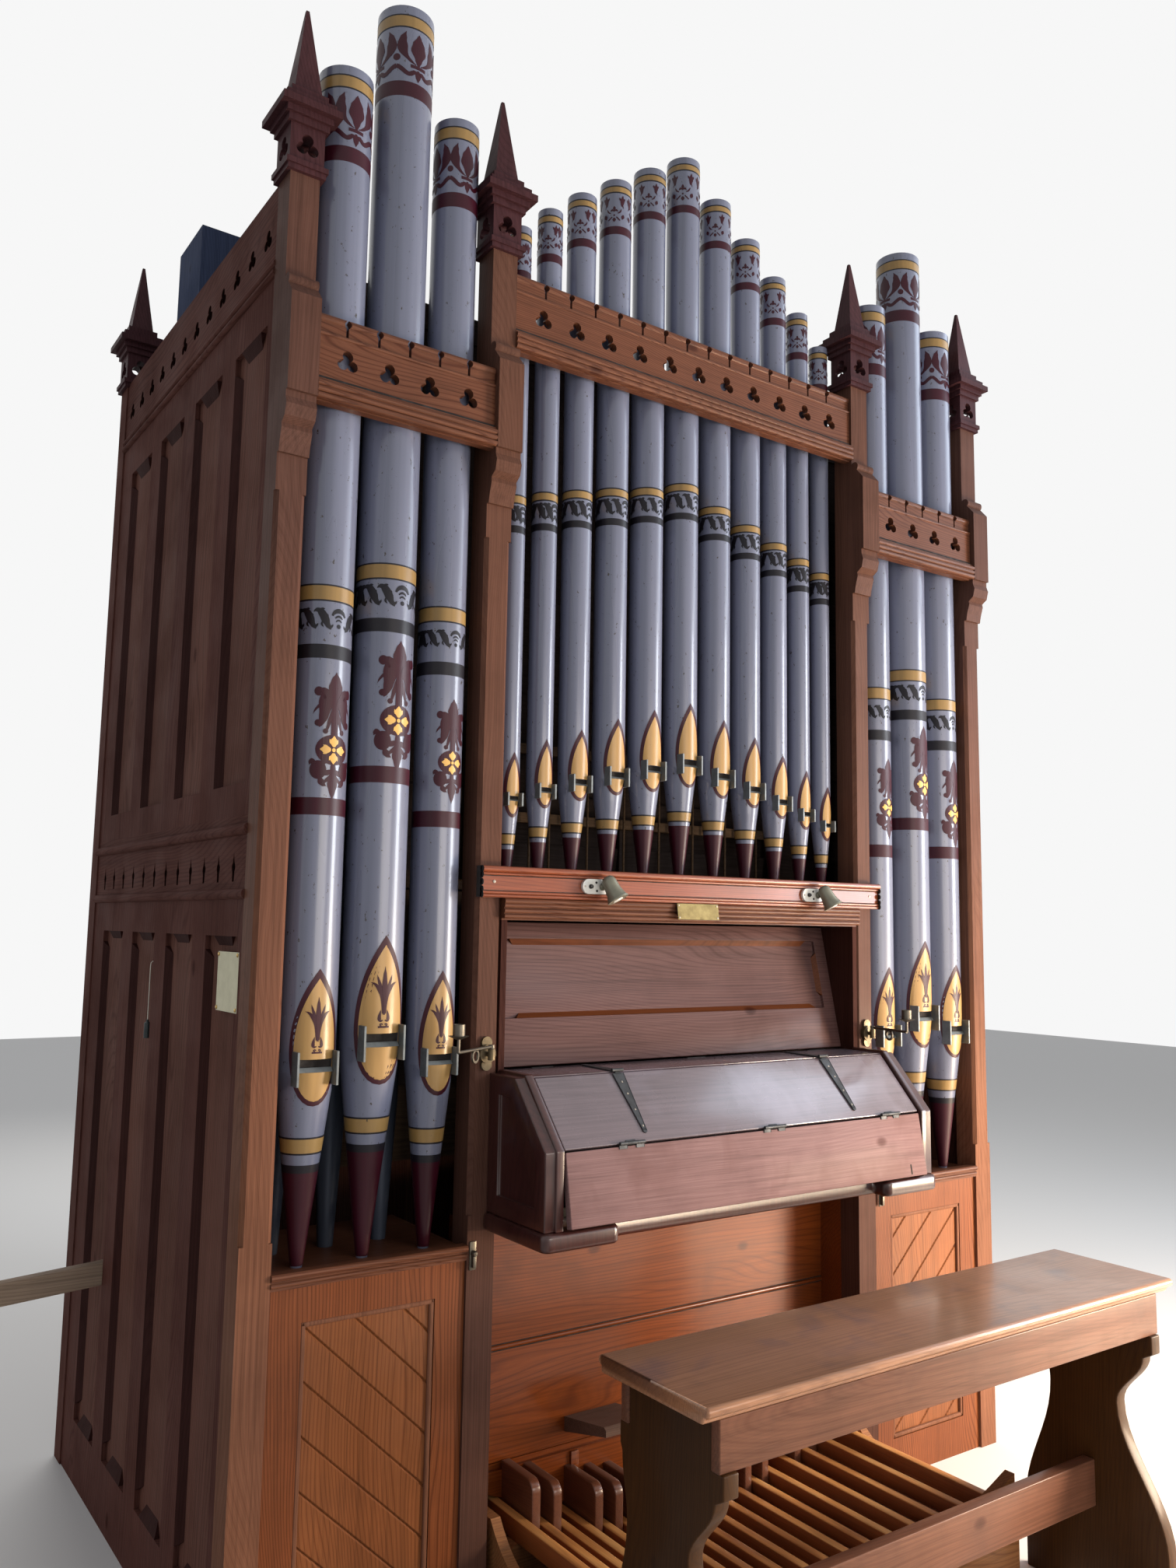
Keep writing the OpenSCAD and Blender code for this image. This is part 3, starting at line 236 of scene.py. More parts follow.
# name: light and late wood, grain axis, ring gap (mm), wander of the rings, line strength, roughness, varnish
timber = {
    "postPineUp": ((0.190, 0.084, 0.050), (0.096, 0.034, 0.019), "Z", 8, 9, 0.28, 0.50, 0.015),
    # The inner posts: the same pine as the outer posts, painted darker for the shade they stand in
    "shadedInnerPostPine": ((0.086, 0.041, 0.030), (0.044, 0.017, 0.012), "Z", 8, 9, 0.28, 0.50, 0.02),
    "railPineAcross": ((0.128, 0.050, 0.028), (0.063, 0.019, 0.010), "X", 8, 9, 0.8, 0.42, 0.08),
    "panelPineUp": ((0.185, 0.056, 0.019), (0.090, 0.022, 0.007), "Z", 8, 9, 0.8, 0.40, 0.10),
    "boardPine": ((0.225, 0.078, 0.027), (0.112, 0.030, 0.009), "Z", 9, 12, 0.59, 0.36, 0.12),
    "kneePineAcross": ((0.172, 0.038, 0.0060), (0.077, 0.0143, 0.0024), "X", 11, 17, 0.55, 0.30, 0.25),
    "mouldRedAcross": ((0.225, 0.056, 0.022), (0.112, 0.024, 0.010), "X", 8, 9, 0.5, 0.30, 0.30),
    "pinnacleBrown": ((0.054, 0.021, 0.024), (0.029, 0.010, 0.011), "Z", 8, 9, 0.5, 0.5, 0.04),
    "sidePineUp": ((0.110, 0.046, 0.037), (0.061, 0.022, 0.017), "Z", 11, 9, 0.6, 0.62, 0.0),
    "sidePineAlong": ((0.110, 0.046, 0.037), (0.061, 0.022, 0.017), "Y", 10, 9, 0.6, 0.62, 0.0),
    "sidePanelUp": ((0.142, 0.065, 0.049), (0.076, 0.029, 0.022), "Z", 11, 17, 0.62, 0.58, 0.0),
    "deskBrownAcross": ((0.108, 0.056, 0.052), (0.054, 0.023, 0.020), "X", 11, 17, 0.50, 0.48, 0.06),
    # The lid and the desk's top strip: dark wood with a painted bluish sheen in its colour
    "lidDarkAndSheen": ((0.138, 0.104, 0.120), (0.074, 0.052, 0.062), "X", 11, 17, 0.22, 0.26, 0.7),
    "flapBrown": ((0.235, 0.140, 0.138), (0.118, 0.058, 0.054), "X", 11, 17, 0.20, 0.58, 0.02),
    "cheekBrown": ((0.048, 0.015, 0.013), (0.023, 0.006, 0.006), "Z", 12, 9, 0.4, 0.30, 0.40),
    "pedalFrameBrown": ((0.29, 0.125, 0.050), (0.140, 0.050, 0.020), "X", 9, 12, 0.51, 0.40, 0.10),
    "benchTopBrown": ((0.350, 0.170, 0.090), (0.156, 0.066, 0.035), "X", 11, 17, 0.35, 0.30, 0.30),
    "benchApron": ((0.156, 0.067, 0.040), (0.072, 0.026, 0.014), "X", 11, 17, 0.28, 0.40, 0.10),
    "benchLegBrown": ((0.052, 0.021, 0.006), (0.026, 0.010, 0.003), "Z", 9, 12, 0.42, 0.42, 0.08),
    "innerDark": ((0.030, 0.022, 0.020), (0.018, 0.012, 0.011), "X", 9, 12, 0.42, 0.6, 0.0),
    "innerBoard": ((0.110, 0.072, 0.046), (0.062, 0.038, 0.024), "X", 9, 12, 0.42, 0.6, 0.0),
    "pipeBoardDark": ((0.058, 0.074, 0.130), (0.034, 0.043, 0.077), "Z", 9, 12, 0.34, 0.65, 0.0),
    # The side walls' chamfers: the wall's pine, painted darker as shade
    "shadedWallChamfer": ((0.040, 0.015, 0.013), (0.026, 0.009, 0.008), "Z", 9, 9, 0.5, 0.55, 0.0),
    "deskStop": ((0.105, 0.030, 0.010), (0.056, 0.014, 0.005), "X", 8, 9, 0.5, 0.40, 0.1),
    "sharpBrown": ((0.130, 0.046, 0.024), (0.074, 0.023, 0.012), "Y", 6, 8, 0.5, 0.30, 0.35),
    "swellBrown": ((0.130, 0.078, 0.058), (0.075, 0.042, 0.030), "X", 7, 8, 0.5, 0.45, 0.1),
    "deskSideBrown": ((0.048, 0.018, 0.014), (0.026, 0.009, 0.007), "Z", 9, 9, 0.5, 0.62, 0.0),
    "leverWood": ((0.36, 0.27, 0.20), (0.22, 0.15, 0.105), "X", 12, 9, 0.5, 0.5, 0.0),
}

# What every timber shares: stretch across and along the grain (1/m), move, detail and roughness of the noise,
# how much it counts, stops
grainLayers = {
    "streaks": (150.0, 2.2, (0, 0, 0), 3.0, 0.6, 0.8, [(0.32, 0.74), (0.52, 1.0), (0.72, 1.12)]),
    "pores": (900.0, 7.0, (0, 0, 0), 2.0, 0.5, 0.4, [(0.30, 0.62), (0.55, 1.0), (0.8, 1.10)]),
    "patches": (3.0, 0.9, (0.7, 2.2, 0.2), 2.0, 0.5, 1.0,
                [(0.30, (0.83, 0.80, 0.79)), (0.50, (1.0, 1.0, 1.0)), (0.72, (1.14, 1.10, 1.06))]),
}
grainLook = {
    "sway": (3.4, 0.7, (1.3, 0.4, 2.1), 0.11),        # across, along, move, how far the rings sway
    "ringStretch": 0.07, "ringScale": 0.628, "ringDetail": 11, "ringLight": (0.94, 1.06),
    "knots": (4.0, 2.4, (0.31, 0.17, 0.23)),
    "knotStops": [(0.0, (0.34, 0.26, 0.24)), (0.035, (0.55, 0.46, 0.44)), (0.060, (1.0, 1.0, 1.0))],
    "stainMove": (4.4, 1.2, 0.6),
    "grimeMove": (3.1, 0.9, 1.7), "grimeSize": 5.0, "grimeStops": [(0.32, 0.76), (0.54, 1.0)],
    "relief": (0.16, 0.0004),
}

# Painted shade by height: the outer posts darker high up, the inner posts lighter high up than at their
# shaded feet: from height, to height (m), shade there
heightShade = {
    "postPineUp": (1.0, 2.3, (0.52, 0.58, 0.74)),
    "shadedInnerPostPine": (0.9, 1.8, (1.26, 1.24, 1.16)),
}

# Timber with stains, and painted bluish reflection patches on the lid's wood and the bench top: colour, size
# of the patches (1/m), noise where the patch starts and is full, strength
stainsAndReflections = {
    "benchTopBrown": ((0.075, 0.062, 0.085), 3.6, 0.50, 0.66, 0.85),
    "flapBrown": ((0.150, 0.078, 0.072), 6.5, 0.50, 0.72, 0.65),
    "lidDarkAndSheen": ((0.210, 0.180, 0.225), 5.0, 0.50, 0.72, 0.60),
    "kneePineAcross": ((0.050, 0.012, 0.003), 3.0, 0.56, 0.76, 0.70),
    "benchApron": ((0.085, 0.040, 0.028), 5.0, 0.50, 0.75, 0.55),
}

# Timber with painted shade inside its piercings: distance from the middle (m) where the shade ends and the
# face starts
shadeInsideHoles = {"sidePineAlong": (1.1446, 1.1455)}
holeShadeColour = (0.16, 0.15, 0.15)


def addTimber(name, light, late, axis, ringGap, wander, strength, roughness, varnish):
    material, sheet = newSheet(name)

    def grained(across, length, move=(0, 0, 0)):
        scale = [across, across, across]
        scale["XYZ".index(axis)] = length
        return objectPoint(sheet, tuple(scale), move)

    # A slow sway of the grain moves the growth rings
    across, along, move, reach = grainLook["sway"]
    sway = calc(sheet, "MULTIPLY", noise(sheet, grained(across, along, move), 1.0, 2.0, 0.45), reach)
    steady = grained(1.0, grainLook["ringStretch"])
    moved = sheet.add("ShaderNodeVectorMath", {"operation": "ADD"}, i0=steady, i1=sway).outputs[0]
    waves = grainLook["ringScale"] / (ringGap * mm)
    settings = {"wave_type": "BANDS", "bands_direction": "DIAGONAL", "wave_profile": "SIN"}
    rings = sheet.add("ShaderNodeTexWave", settings, Vector=moved, Scale=waves, Distortion=wander, Detail=1.6,
                      Detail_Scale=grainLook["ringDetail"] / waves, Detail_Roughness=0.45).outputs["Fac"]
    late3 = tuple(c * strength + d * (1 - strength) for c, d in zip(late, light))
    mid = tuple(0.45 * c + 0.55 * d for c, d in zip(late3, light))
    darker, lighter = (tuple(c * share for c in light) for share in grainLook["ringLight"])
    colour = ramp(sheet, rings, [(0.0, late3), (0.10, mid), (0.34, light), (0.78, darker), (1.0, lighter)])
    layers = {}
    for layer, (across, along, move, detail, rough, amount, stops) in grainLayers.items():
        layers[layer] = noise(sheet, grained(across, along, move), 1.0, detail, rough)
        colour = shaded(sheet, colour, amount, layers[layer], stops)
    spots = grained(*grainLook["knots"])
    knots = sheet.add("ShaderNodeTexVoronoi", {"feature": "F1"}, Vector=spots, Scale=1.0,
                      Randomness=1.0).outputs["Distance"]
    colour = shaded(sheet, colour, 1.0, knots, grainLook["knotStops"])
    # Stains, and on the lid's wood and the bench top painted reflection patches
    if name in stainsAndReflections:
        tint, size, low, high, depth = stainsAndReflections[name]
        spread = noise(sheet, objectPoint(sheet, move=grainLook["stainMove"]), size, 3.5, 0.6, 0.4)
        colour = mixColour(sheet, "MIX", ramp(sheet, spread, [(low, 0.0), (high, depth)]), colour, pale(tint))
    # Painted shade on the inner walls of the piercings
    if name in shadeInsideHoles:
        face = between(sheet, calc(sheet, "ABSOLUTE", coordinate(sheet, "X")), *shadeInsideHoles[name])
        colour = shaded(sheet, colour, 1.0, face, [(0.0, holeShadeColour), (1.0, (1.0, 1.0, 1.0))])
    # Painted shade that changes with height
    if name in heightShade:
        low, high, shade = heightShade[name]
        rise = between(sheet, coordinate(sheet, "Z"), low, high)
        colour = shaded(sheet, colour, 1.0, rise, [(0.0, (1.0, 1.0, 1.0)), (1.0, shade)])
    grime = noise(sheet, objectPoint(sheet, move=grainLook["grimeMove"]), grainLook["grimeSize"], 4.0, 0.62)
    colour = shaded(sheet, colour, 0.6, grime, grainLook["grimeStops"])
    gloss = ramp(sheet, grime, [(0.3, roughness * 1.25), (0.62, roughness * 0.94)])
    relief = bump(sheet, layers["pores"], *grainLook["relief"])
    finish(sheet, colour, gloss, relief, Coat_Weight=varnish, Coat_Roughness=0.16,
           Specular_IOR_Level=0.02 + 0.85 * varnish)
    return material


finishes = {name: addTimber(name, *row) for name, row in timber.items()}

# name: colour, roughness, streak strength, chip threshold, metallic, coat
paints = {
    "pipePaint": ((0.128, 0.139, 0.200), 0.29, 0.22, 0.655, 0.0, 0.40),
    "goldPaint": ((0.360, 0.215, 0.078), 0.36, 0.26, 0.72, 0.0, 0.1),
    "goldBand": ((0.262, 0.163, 0.058), 0.36, 0.30, 0.70, 0.0, 0.1),
    "maroonPaint": ((0.030, 0.0022, 0.008), 0.40, 0.25, 0.74, 0.0, 0.0),
    "blackPaint": ((0.008, 0.007, 0.011), 0.42, 0.3, 0.74, 0.0, 0.0),
    "yellowPaint": ((0.62, 0.36, 0.09), 0.42, 0.2, 0.78, 0.0, 0.1),
    "darkPipe": ((0.045, 0.055, 0.080), 0.45, 0.3, 0.8, 0.3, 0.0),
}
paintWear = {
    "streaks": (60, 60, 1.4), "slow": (9, 9, 0.8), "spots": (105, 105, 62),   # 1/m
    "chipColour": (0.035, 0.027, 0.024, 1), "chipEdge": 0.02,
    "relief": (0.10, 0.0006),
}


def addPaint(name, colour, roughness, streak, chip, metallic, coat):
    material, sheet = newSheet(name)
    streaks = noise(sheet, objectPoint(sheet, paintWear["streaks"]), 1.0, 3.0, 0.5)
    slow = noise(sheet, objectPoint(sheet, paintWear["slow"]), 1.0, 2.0, 0.5)
    shade = shaded(sheet, pale(colour), 1.0, streaks, [(0.3, 1 - streak * 0.5), (0.7, 1 + streak * 0.35)])
    shade = shaded(sheet, shade, 1.0, slow, [(0.3, 1 - streak * 0.4), (0.7, 1 + streak * 0.3)])
    spots = noise(sheet, objectPoint(sheet, paintWear["spots"]), 1.0, 4.0, 0.68)
    chips = ramp(sheet, spots, [(chip, 0.0), (chip + paintWear["chipEdge"], 1.0)])
    shade = mixColour(sheet, "MIX", chips, shade, paintWear["chipColour"])
    gloss = ramp(sheet, slow, [(0.3, roughness * 0.8), (0.7, roughness * 1.3)])
    finish(sheet, shade, gloss, bump(sheet, spots, *paintWear["relief"]), Metallic=metallic, Coat_Weight=coat,
           Coat_Roughness=0.13, Specular_IOR_Level=0.25 + 0.4 * coat)
    return material


finishes.update({name: addPaint(name, *row) for name, row in paints.items()})

# name: colour, roughness, mottling, metallic
metals = {
    "wroughtIron": ((0.050, 0.052, 0.056), 0.52, 0.5, 0.6),
    "agedBrass": ((0.52, 0.36, 0.14), 0.34, 0.45, 1.0),
    "plateBrass": ((0.150, 0.112, 0.036), 0.48, 0.4, 0.6),
    "roseBronze": ((0.110, 0.080, 0.042), 0.46, 0.6, 0.6),
    "leadGrey": ((0.020, 0.028, 0.030), 0.5, 0.5, 0.2),
    "darkBronze": ((0.115, 0.100, 0.080), 0.42, 0.5, 0.9),
    "lampGrey": ((0.185, 0.180, 0.135), 0.38, 0.25, 0.35),
    "lampGlass": ((0.80, 0.80, 0.76), 0.22, 0.1, 0.0),
    "ebonised": ((0.018, 0.015, 0.015), 0.25, 0.3, 0.0),
    "mouthMetal": ((0.145, 0.160, 0.165), 0.45, 0.35, 0.3),
    "whiteEnamel": ((0.68, 0.67, 0.63), 0.35, 0.12, 0.0),
    "notePaper": ((0.74, 0.70, 0.50), 0.85, 0.10, 0.0),
    "whiteString": ((0.72, 0.68, 0.58), 0.9, 0.15, 0.0),
    "shadowGap": ((0.012, 0.009, 0.008), 0.9, 0.2, 0.0),
    "screwSteel": ((0.30, 0.27, 0.23), 0.45, 0.4, 0.8),
}


def addMetal(name, colour, roughness, mottle, metallic):
    material, sheet = newSheet(name)
    cloud = noise(sheet, objectPoint(sheet), 46.0, 4.0, 0.6)
    fine = noise(sheet, objectPoint(sheet), 420.0, 3.0, 0.6)
    shade = shaded(sheet, pale(colour), 1.0, cloud, [(0.32, 1 - mottle * 0.6), (0.68, 1 + mottle * 0.35)])
    gloss = ramp(sheet, cloud, [(0.3, roughness * 1.3), (0.7, roughness * 0.8)])
    finish(sheet, shade, gloss, bump(sheet, fine, 0.12, 0.0004), Metallic=metallic)
    return material


finishes.update({name: addMetal(name, *row) for name, row in metals.items()})

manualLook = {
    "wood": (0.10, 0.050, 0.030),
    "ivory": (0.72, 0.66, 0.50),
    "ebony": (0.016, 0.014, 0.014),
    "blockTop": 14, "keySide": 17.5, "sharpFoot": 0.4,   # mm below the top, below and above the naturals
}


# The keys of one manual, told apart by height
def addManualFinish(node, s):
    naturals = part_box(node)[1][2] - s["blockTop"] * mm
    material, sheet = newSheet(node + "Keys")
    height = coordinate(sheet, "Z")
    fibres = noise(sheet, objectPoint(sheet, (240, 30, 240)), 1.0, 3.0, 0.6)
    colour = pale(s["wood"])
    for level, tint in ((-s["keySide"], s["ivory"]), (s["sharpFoot"], s["ebony"])):
        above = calc(sheet, "GREATER_THAN", height, naturals + level * mm)
        colour = mixColour(sheet, "MIX", above, colour, pale(tint))
    colour = shaded(sheet, colour, 0.5, fibres, [(0.3, 0.7), (0.7, 1.06)])
    finish(sheet, colour, 0.24, bump(sheet, fibres, 0.05, 0.0003), Coat_Weight=0.2, Coat_Roughness=0.15)
    return material


pedalLook = {
    "top": [(0.3, (0.34, 0.115, 0.030)), (0.50, (0.66, 0.290, 0.085)), (0.70, (0.86, 0.480, 0.170))],
    "side": [(0.3, (0.20, 0.052, 0.013)), (0.7, (0.38, 0.110, 0.028))],
    "fibreStops": [(0.3, 0.6), (0.6, 1.0), (0.8, 1.1)],
}


# Pale tops, worn and also painted lighter for the sunlight on them; red-brown sides, also painted lighter
def addPedalFinish(s):
    material, sheet = newSheet("naturalPedalWood")
    fibres = noise(sheet, objectPoint(sheet, (430, 8, 430)), 1.0, 4.0, 0.62)
    wear = noise(sheet, objectPoint(sheet, (14, 3, 14)), 1.0, 3.0, 0.55)
    isTop = ramp(sheet, coordinate(sheet, "Z", "Normal"), [(0.4, 0.0), (0.8, 1.0)])
    colour = mixColour(sheet, "MIX", isTop, ramp(sheet, wear, s["side"]), ramp(sheet, wear, s["top"]))
    colour = shaded(sheet, colour, 0.7, fibres, s["fibreStops"])
    finish(sheet, colour, 0.46, bump(sheet, fibres, 0.2, 0.0006))
    return material


finishes["naturalPedalWood"] = addPedalFinish(pedalLook)
finishes["lowerKeys"] = addManualFinish("lower_manual", manualLook)
finishes["upperKeys"] = addManualFinish("upper_manual", manualLook)

finishedNodes = {
    "postPineUp": ("outer_left_post", "outer_right_post"),
    "shadedInnerPostPine": ("inner_left_post", "inner_right_post"),
    "sidePineUp": ("rear_left_post", "rear_right_post", "left_side_frame", "right_side_frame",
        "back_frame"),
    "pinnacleBrown": ("pinnacles",),
    "railPineAcross": ("left_tower_rail", "centre_rail", "right_tower_rail", "left_tower_sill",
        "right_tower_sill", "desk_rail"),
    "panelPineUp": ("left_tower_panel", "right_tower_panel"),
    "sidePanelUp": ("left_side_panels", "right_side_panels", "back_panels"),
    "sidePineAlong": ("left_side_friezes", "right_side_friezes"),
    "mouldRedAcross": ("impost",),
    "innerBoard": ("centre_toe_board", "name_board", "wind_chest"),
    "deskBrownAcross": ("music_desk",),
    "deskSideBrown": ("music_desk_cheeks",),
    "cheekBrown": ("left_cheek", "right_cheek", "key_bed"),
    "lidDarkAndSheen": ("desk_top_strip", "lid"),
    "lowerKeys": ("lower_manual",),
    "upperKeys": ("upper_manual",),
    "ebonised": ("stop_knobs",),
    "wroughtIron": ("lid_hinges", "fixed_straps", "flap_hinges"),
    "flapBrown": ("lid_flap",),
    "kneePineAcross": ("kneeboard",),
    "swellBrown": ("swell_pedal",),
    "pipePaint": ("left_tower_pipes", "centre_pipes", "right_tower_pipes"),
    "darkPipe": ("inner_pipes",),
    "pipeBoardDark": ("wooden_pipe",),
    "pedalFrameBrown": ("pedalboard_frame",),
    "naturalPedalWood": ("natural_pedals",),
    "sharpBrown": ("sharp_pedals",),
    "benchTopBrown": ("bench_top",),
    "benchApron": ("bench_rails",),
    "benchLegBrown": ("bench_legs",),
    "roseBronze": ("left_sconce_rose", "right_sconce_rose"),
    "darkBronze": ("left_sconce", "right_sconce"),
    "lampGrey": ("spot_lamps",),
    "leverWood": ("blowing_lever",),
}
nodeFinish = {node: look for look, nodes in finishedNodes.items() for node in nodes}
for node, look in nodeFinish.items():
    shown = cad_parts[node]
    if not shown.material_slots:
        shown.data.materials.append(finishes[look])
    for place in shown.material_slots:
        place.material = finishes[look]


# A slot name for each finish; a finish not named here has none
slotLooks = {
    "painted_pipe": ("goldBand", "goldPaint", "blackPaint", "maroonPaint", "yellowPaint"),
    "pipe_metal": ("mouthMetal",),
    "inner_timber": ("innerDark", "innerBoard"),
    "pitch_pine": ("boardPine", "postPineUp", "railPineAcross", "kneePineAcross"),
    "dark_pine": ("shadedWallChamfer", "benchLegBrown", "cheekBrown"),
    "worn_pine": ("lidDarkAndSheen", "flapBrown", "benchTopBrown", "benchApron", "deskBrownAcross", "deskStop"),
    "pedal_wood": ("naturalPedalWood", "sharpBrown"),
    "lever_wood": ("leverWood",),
    "brass": ("plateBrass", "screwSteel", "agedBrass"),
    "lamp_metal": ("whiteEnamel", "lampGlass", "lampGrey"),
    "black_iron": ("ebonised", "darkBronze", "wroughtIron", "leadGrey"),
}
slotOf = {look: slotName for slotName, looks in slotLooks.items() for look in looks}
weld = 0.000004   # metres: corners nearer than this are one


def meshPiece(name, bm, look, body="case", slotName=None, smooth=None):
    bmesh.ops.remove_doubles(bm, verts=bm.verts[:], dist=weld)
    bmesh.ops.recalc_face_normals(bm, faces=bm.faces[:])
    mesh = bpy.data.meshes.new(name)
    bm.to_mesh(mesh)
    bm.free()
    piece = bpy.data.objects.new(name, mesh)
    bpy.context.scene.collection.objects.link(piece)
    mesh.materials.append(finishes[look])
    if smooth:
        mesh.shade_smooth()
        mesh.set_sharp_from_angle(angle=math.radians(smooth))
    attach(piece, body)
    slotName = slotName or slotOf.get(look)
    return piece


# Boards whose edges are worn round: node: radius (mm), body
roundedBoards = {
    "lid": (2.6, "lid"), "lid_flap": (2.6, "flap"), "desk_top_strip": (1.6, "case"),
    "bench_top": (5.0, "case"),
    "bench_rails": (2.5, "case"), "bench_legs": (3.0, "case"), "natural_pedals": (3.0, "case"),
    "sharp_pedals": (3.0, "case"), "blowing_lever": (6.0, "lever"), "left_cheek": (5.0, "case"),
    "right_cheek": (5.0, "case"), "key_bed": (9.0, "case"), "music_desk": (2.0, "case"),
}
boardCorner = {"least": 35, "flat": 1, "weld": 0.00002, "segments": 3, "smooth": 40}   # degrees and metres


def addRoundedBoards(boards, s):
    for node, (radius, body) in boards.items():
        bm = bmesh.new()
        bm.from_mesh(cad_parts[node].data)
        bmesh.ops.remove_doubles(bm, verts=bm.verts[:], dist=s["weld"])
        flat, least = math.radians(s["flat"]), math.radians(s["least"])
        bmesh.ops.dissolve_limit(bm, angle_limit=flat, verts=bm.verts[:], edges=bm.edges[:])
        corners = [e for e in bm.edges if len(e.link_faces) == 2 and e.calc_face_angle() > least]
        bmesh.ops.bevel(bm, geom=corners, offset=radius * mm, affect="EDGES", segments=s["segments"],
                        profile=0.5, material=-1, clamp_overlap=True)
        piece = meshPiece(node + "Rounded", bm, nodeFinish[node], body, smooth=s["smooth"])
        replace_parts(piece, node)


addRoundedBoards(roundedBoards, boardCorner)


def joinInto(target, source):
    mesh = bpy.data.meshes.new("part")
    source.to_mesh(mesh)
    source.free()
    target.from_mesh(mesh)
    bpy.data.meshes.remove(mesh)


# From here on all lengths are in mm, as in the model's source; these helpers turn them into metres
def about(middle, half):
    return middle - half, middle + half


def boxOf(node):
    return [[c / mm for c in corner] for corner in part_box(node)]


def shift(bm, by, verts=None):
    bmesh.ops.translate(bm, verts=verts or bm.verts[:], vec=Vector(by) * mm)


def rotate(bm, degrees, axis, centre=(0, 0, 0)):
    turn = Matrix.Rotation(math.radians(degrees), 3, axis)
    bmesh.ops.rotate(bm, verts=bm.verts[:], cent=Vector(centre) * mm, matrix=turn)


def aimed(bm, direction):
    turn = upright.rotation_difference(Vector(direction)).to_matrix()
    bmesh.ops.rotate(bm, verts=bm.verts[:], cent=(0, 0, 0), matrix=turn)


def rounded(bm, edges, radius, steps):
    bmesh.ops.bevel(bm, geom=edges, offset=radius * mm, affect="EDGES", segments=steps, profile=0.5,
                    material=-1)


def cube(sizes, edge=0.0, steps=2):
    part = bmesh.new()
    bmesh.ops.create_cube(part, size=1)
    bmesh.ops.scale(part, verts=part.verts[:], vec=Vector(sizes) * mm)
    if edge:
        rounded(part, part.edges[:], edge, steps)
    return part


def block(bm, x, y, z, edge=0.0, steps=2):
    part = cube([high - low for low, high in (x, y, z)], edge, steps)
    shift(part, [(low + high) / 2 for low, high in (x, y, z)])
    joinInto(bm, part)


# Spins a closed outline of (radius, height), and lays its axis along a direction
def turned(bm, centre, outline, steps=48, axis=(0, 0, 1)):
    part = bmesh.new()
    corners = [part.verts.new((r * mm, 0, z * mm)) for r, z in outline]
    edges = [part.edges.new((a, b)) for a, b in zip(corners, corners[1:] + corners[:1])]
    bmesh.ops.spin(part, geom=corners + edges, cent=(0, 0, 0), axis=(0, 0, 1), angle=2 * math.pi, steps=steps,
                   use_merge=True)
    bmesh.ops.remove_doubles(part, verts=part.verts[:], dist=weld)
    aimed(part, axis)
    shift(part, centre)
    joinInto(bm, part)


# A solid turned piece: its outline from the foot, and the height of its middle
def knob(bm, centre, shape, axis=(0, 0, 1)):
    outline, top, steps = shape
    axisR = 0.01
    turned(bm, centre, [(axisR, outline[0][1]), *outline, (axisR, top)], steps, axis)


# A round bar between two points, closed at both ends
def rod(bm, start, end, radius, steps=16, endRadius=None):
    part = bmesh.new()
    start, end = Vector(start), Vector(end)
    endRadius = radius if endRadius is None else endRadius
    bmesh.ops.create_cone(part, cap_ends=True, segments=steps, radius1=radius * mm, radius2=endRadius * mm,
                          depth=(end - start).length * mm)
    aimed(part, end - start)
    shift(part, (start + end) / 2)
    joinInto(bm, part)


print("stage: painted pipes")

pipeSizes = {
    "towerX": 864.25, "towerPitch": 143.5, "towerY": 27.0, "towerBase": 786, "towerMouth": (1178, 1223, 1178),
    "towerR": (62, 66, 54), "towerTop": (3378, 3590, 3378), "tip": 12,
    "centreR": 46, "centreTaper": (0, 2, 4, 8, 14, 18), "centreY": 46, "centreBase": 1612,
    "centreMouth": 1895, "centreMouthStep": 25, "centreTop": 3585, "centreStep": 76, "bayHalf": 578.5,
}


def listPipes(s):
    rows = []
    for side in (-1, 1):
        for n, step in enumerate((1, 0, -1)):
            rows.append({
                "kind": "tower", "n": n, "x": side * (s["towerX"] + step * s["towerPitch"]), "y": s["towerY"],
                "r": s["towerR"][n], "base": s["towerBase"], "mouth": s["towerMouth"][n],
                "top": s["towerTop"][n],
            })
    radii = [s["centreR"] - t for t in s["centreTaper"]]
    gap = (s["bayHalf"] - radii[0] - 2 * sum(radii[1:])) / len(radii)
    x = 0
    for n, r in enumerate(radii):
        if n:
            x += radii[n - 1] + r + gap
        for side in ((-1, 1) if n else (1,)):
            rows.append({
                "kind": "centre", "n": n, "x": side * x, "y": s["centreY"], "r": r, "base": s["centreBase"],
                "mouth": s["centreMouth"] - s["centreMouthStep"] * n,
                "top": s["centreTop"] - s["centreStep"] * n,
            })
    return rows


pipes = listPipes(pipeSizes)

# mm, and shares of the pipe's radius
mouths = {
    "earCover": 0.6, "earOut": 10, "earAt": 0.68, "earHalf": 2.0, "earBack": 0.66, "earAbove": 1.6,
    "earEdge": 0.8,
    "slotHalf": 0.62, "slotBack": 0.72, "slotShare": 0.42, "darkThick": (-0.5, 0.3), "clear": 0.2,
    "lipShare": 0.34, "lipDeep": 0.20, "lipLean": 0.12, "lipAt": 0.83,
}
for pipe in pipes:
    pipe["slot"] = mouths["slotShare"] * pipe["r"]


def radiusAt(pipe, z):
    if z >= pipe["mouth"]:
        return pipe["r"]
    share = (z - pipe["base"]) / (pipe["mouth"] - pipe["base"])
    return pipeSizes["tip"] + (pipe["r"] - pipeSizes["tip"]) * share


# A point on the pipe's skin, u round it from an angle and z up, in metres
def wrap(pipe, u, z, lift, start):
    r = radiusAt(pipe, z)
    angle = math.radians(start) + u / r
    r += lift
    x, y = pipe["x"] + r * math.sin(angle), pipe["y"] - r * math.cos(angle)
    return Vector((x * mm, y * mm, z * mm))


def curvePoint(points, t):
    points = [Vector(p) for p in points]
    while len(points) > 1:
        points = [a.lerp(b, t) for a, b in zip(points, points[1:])]
    return points[0]


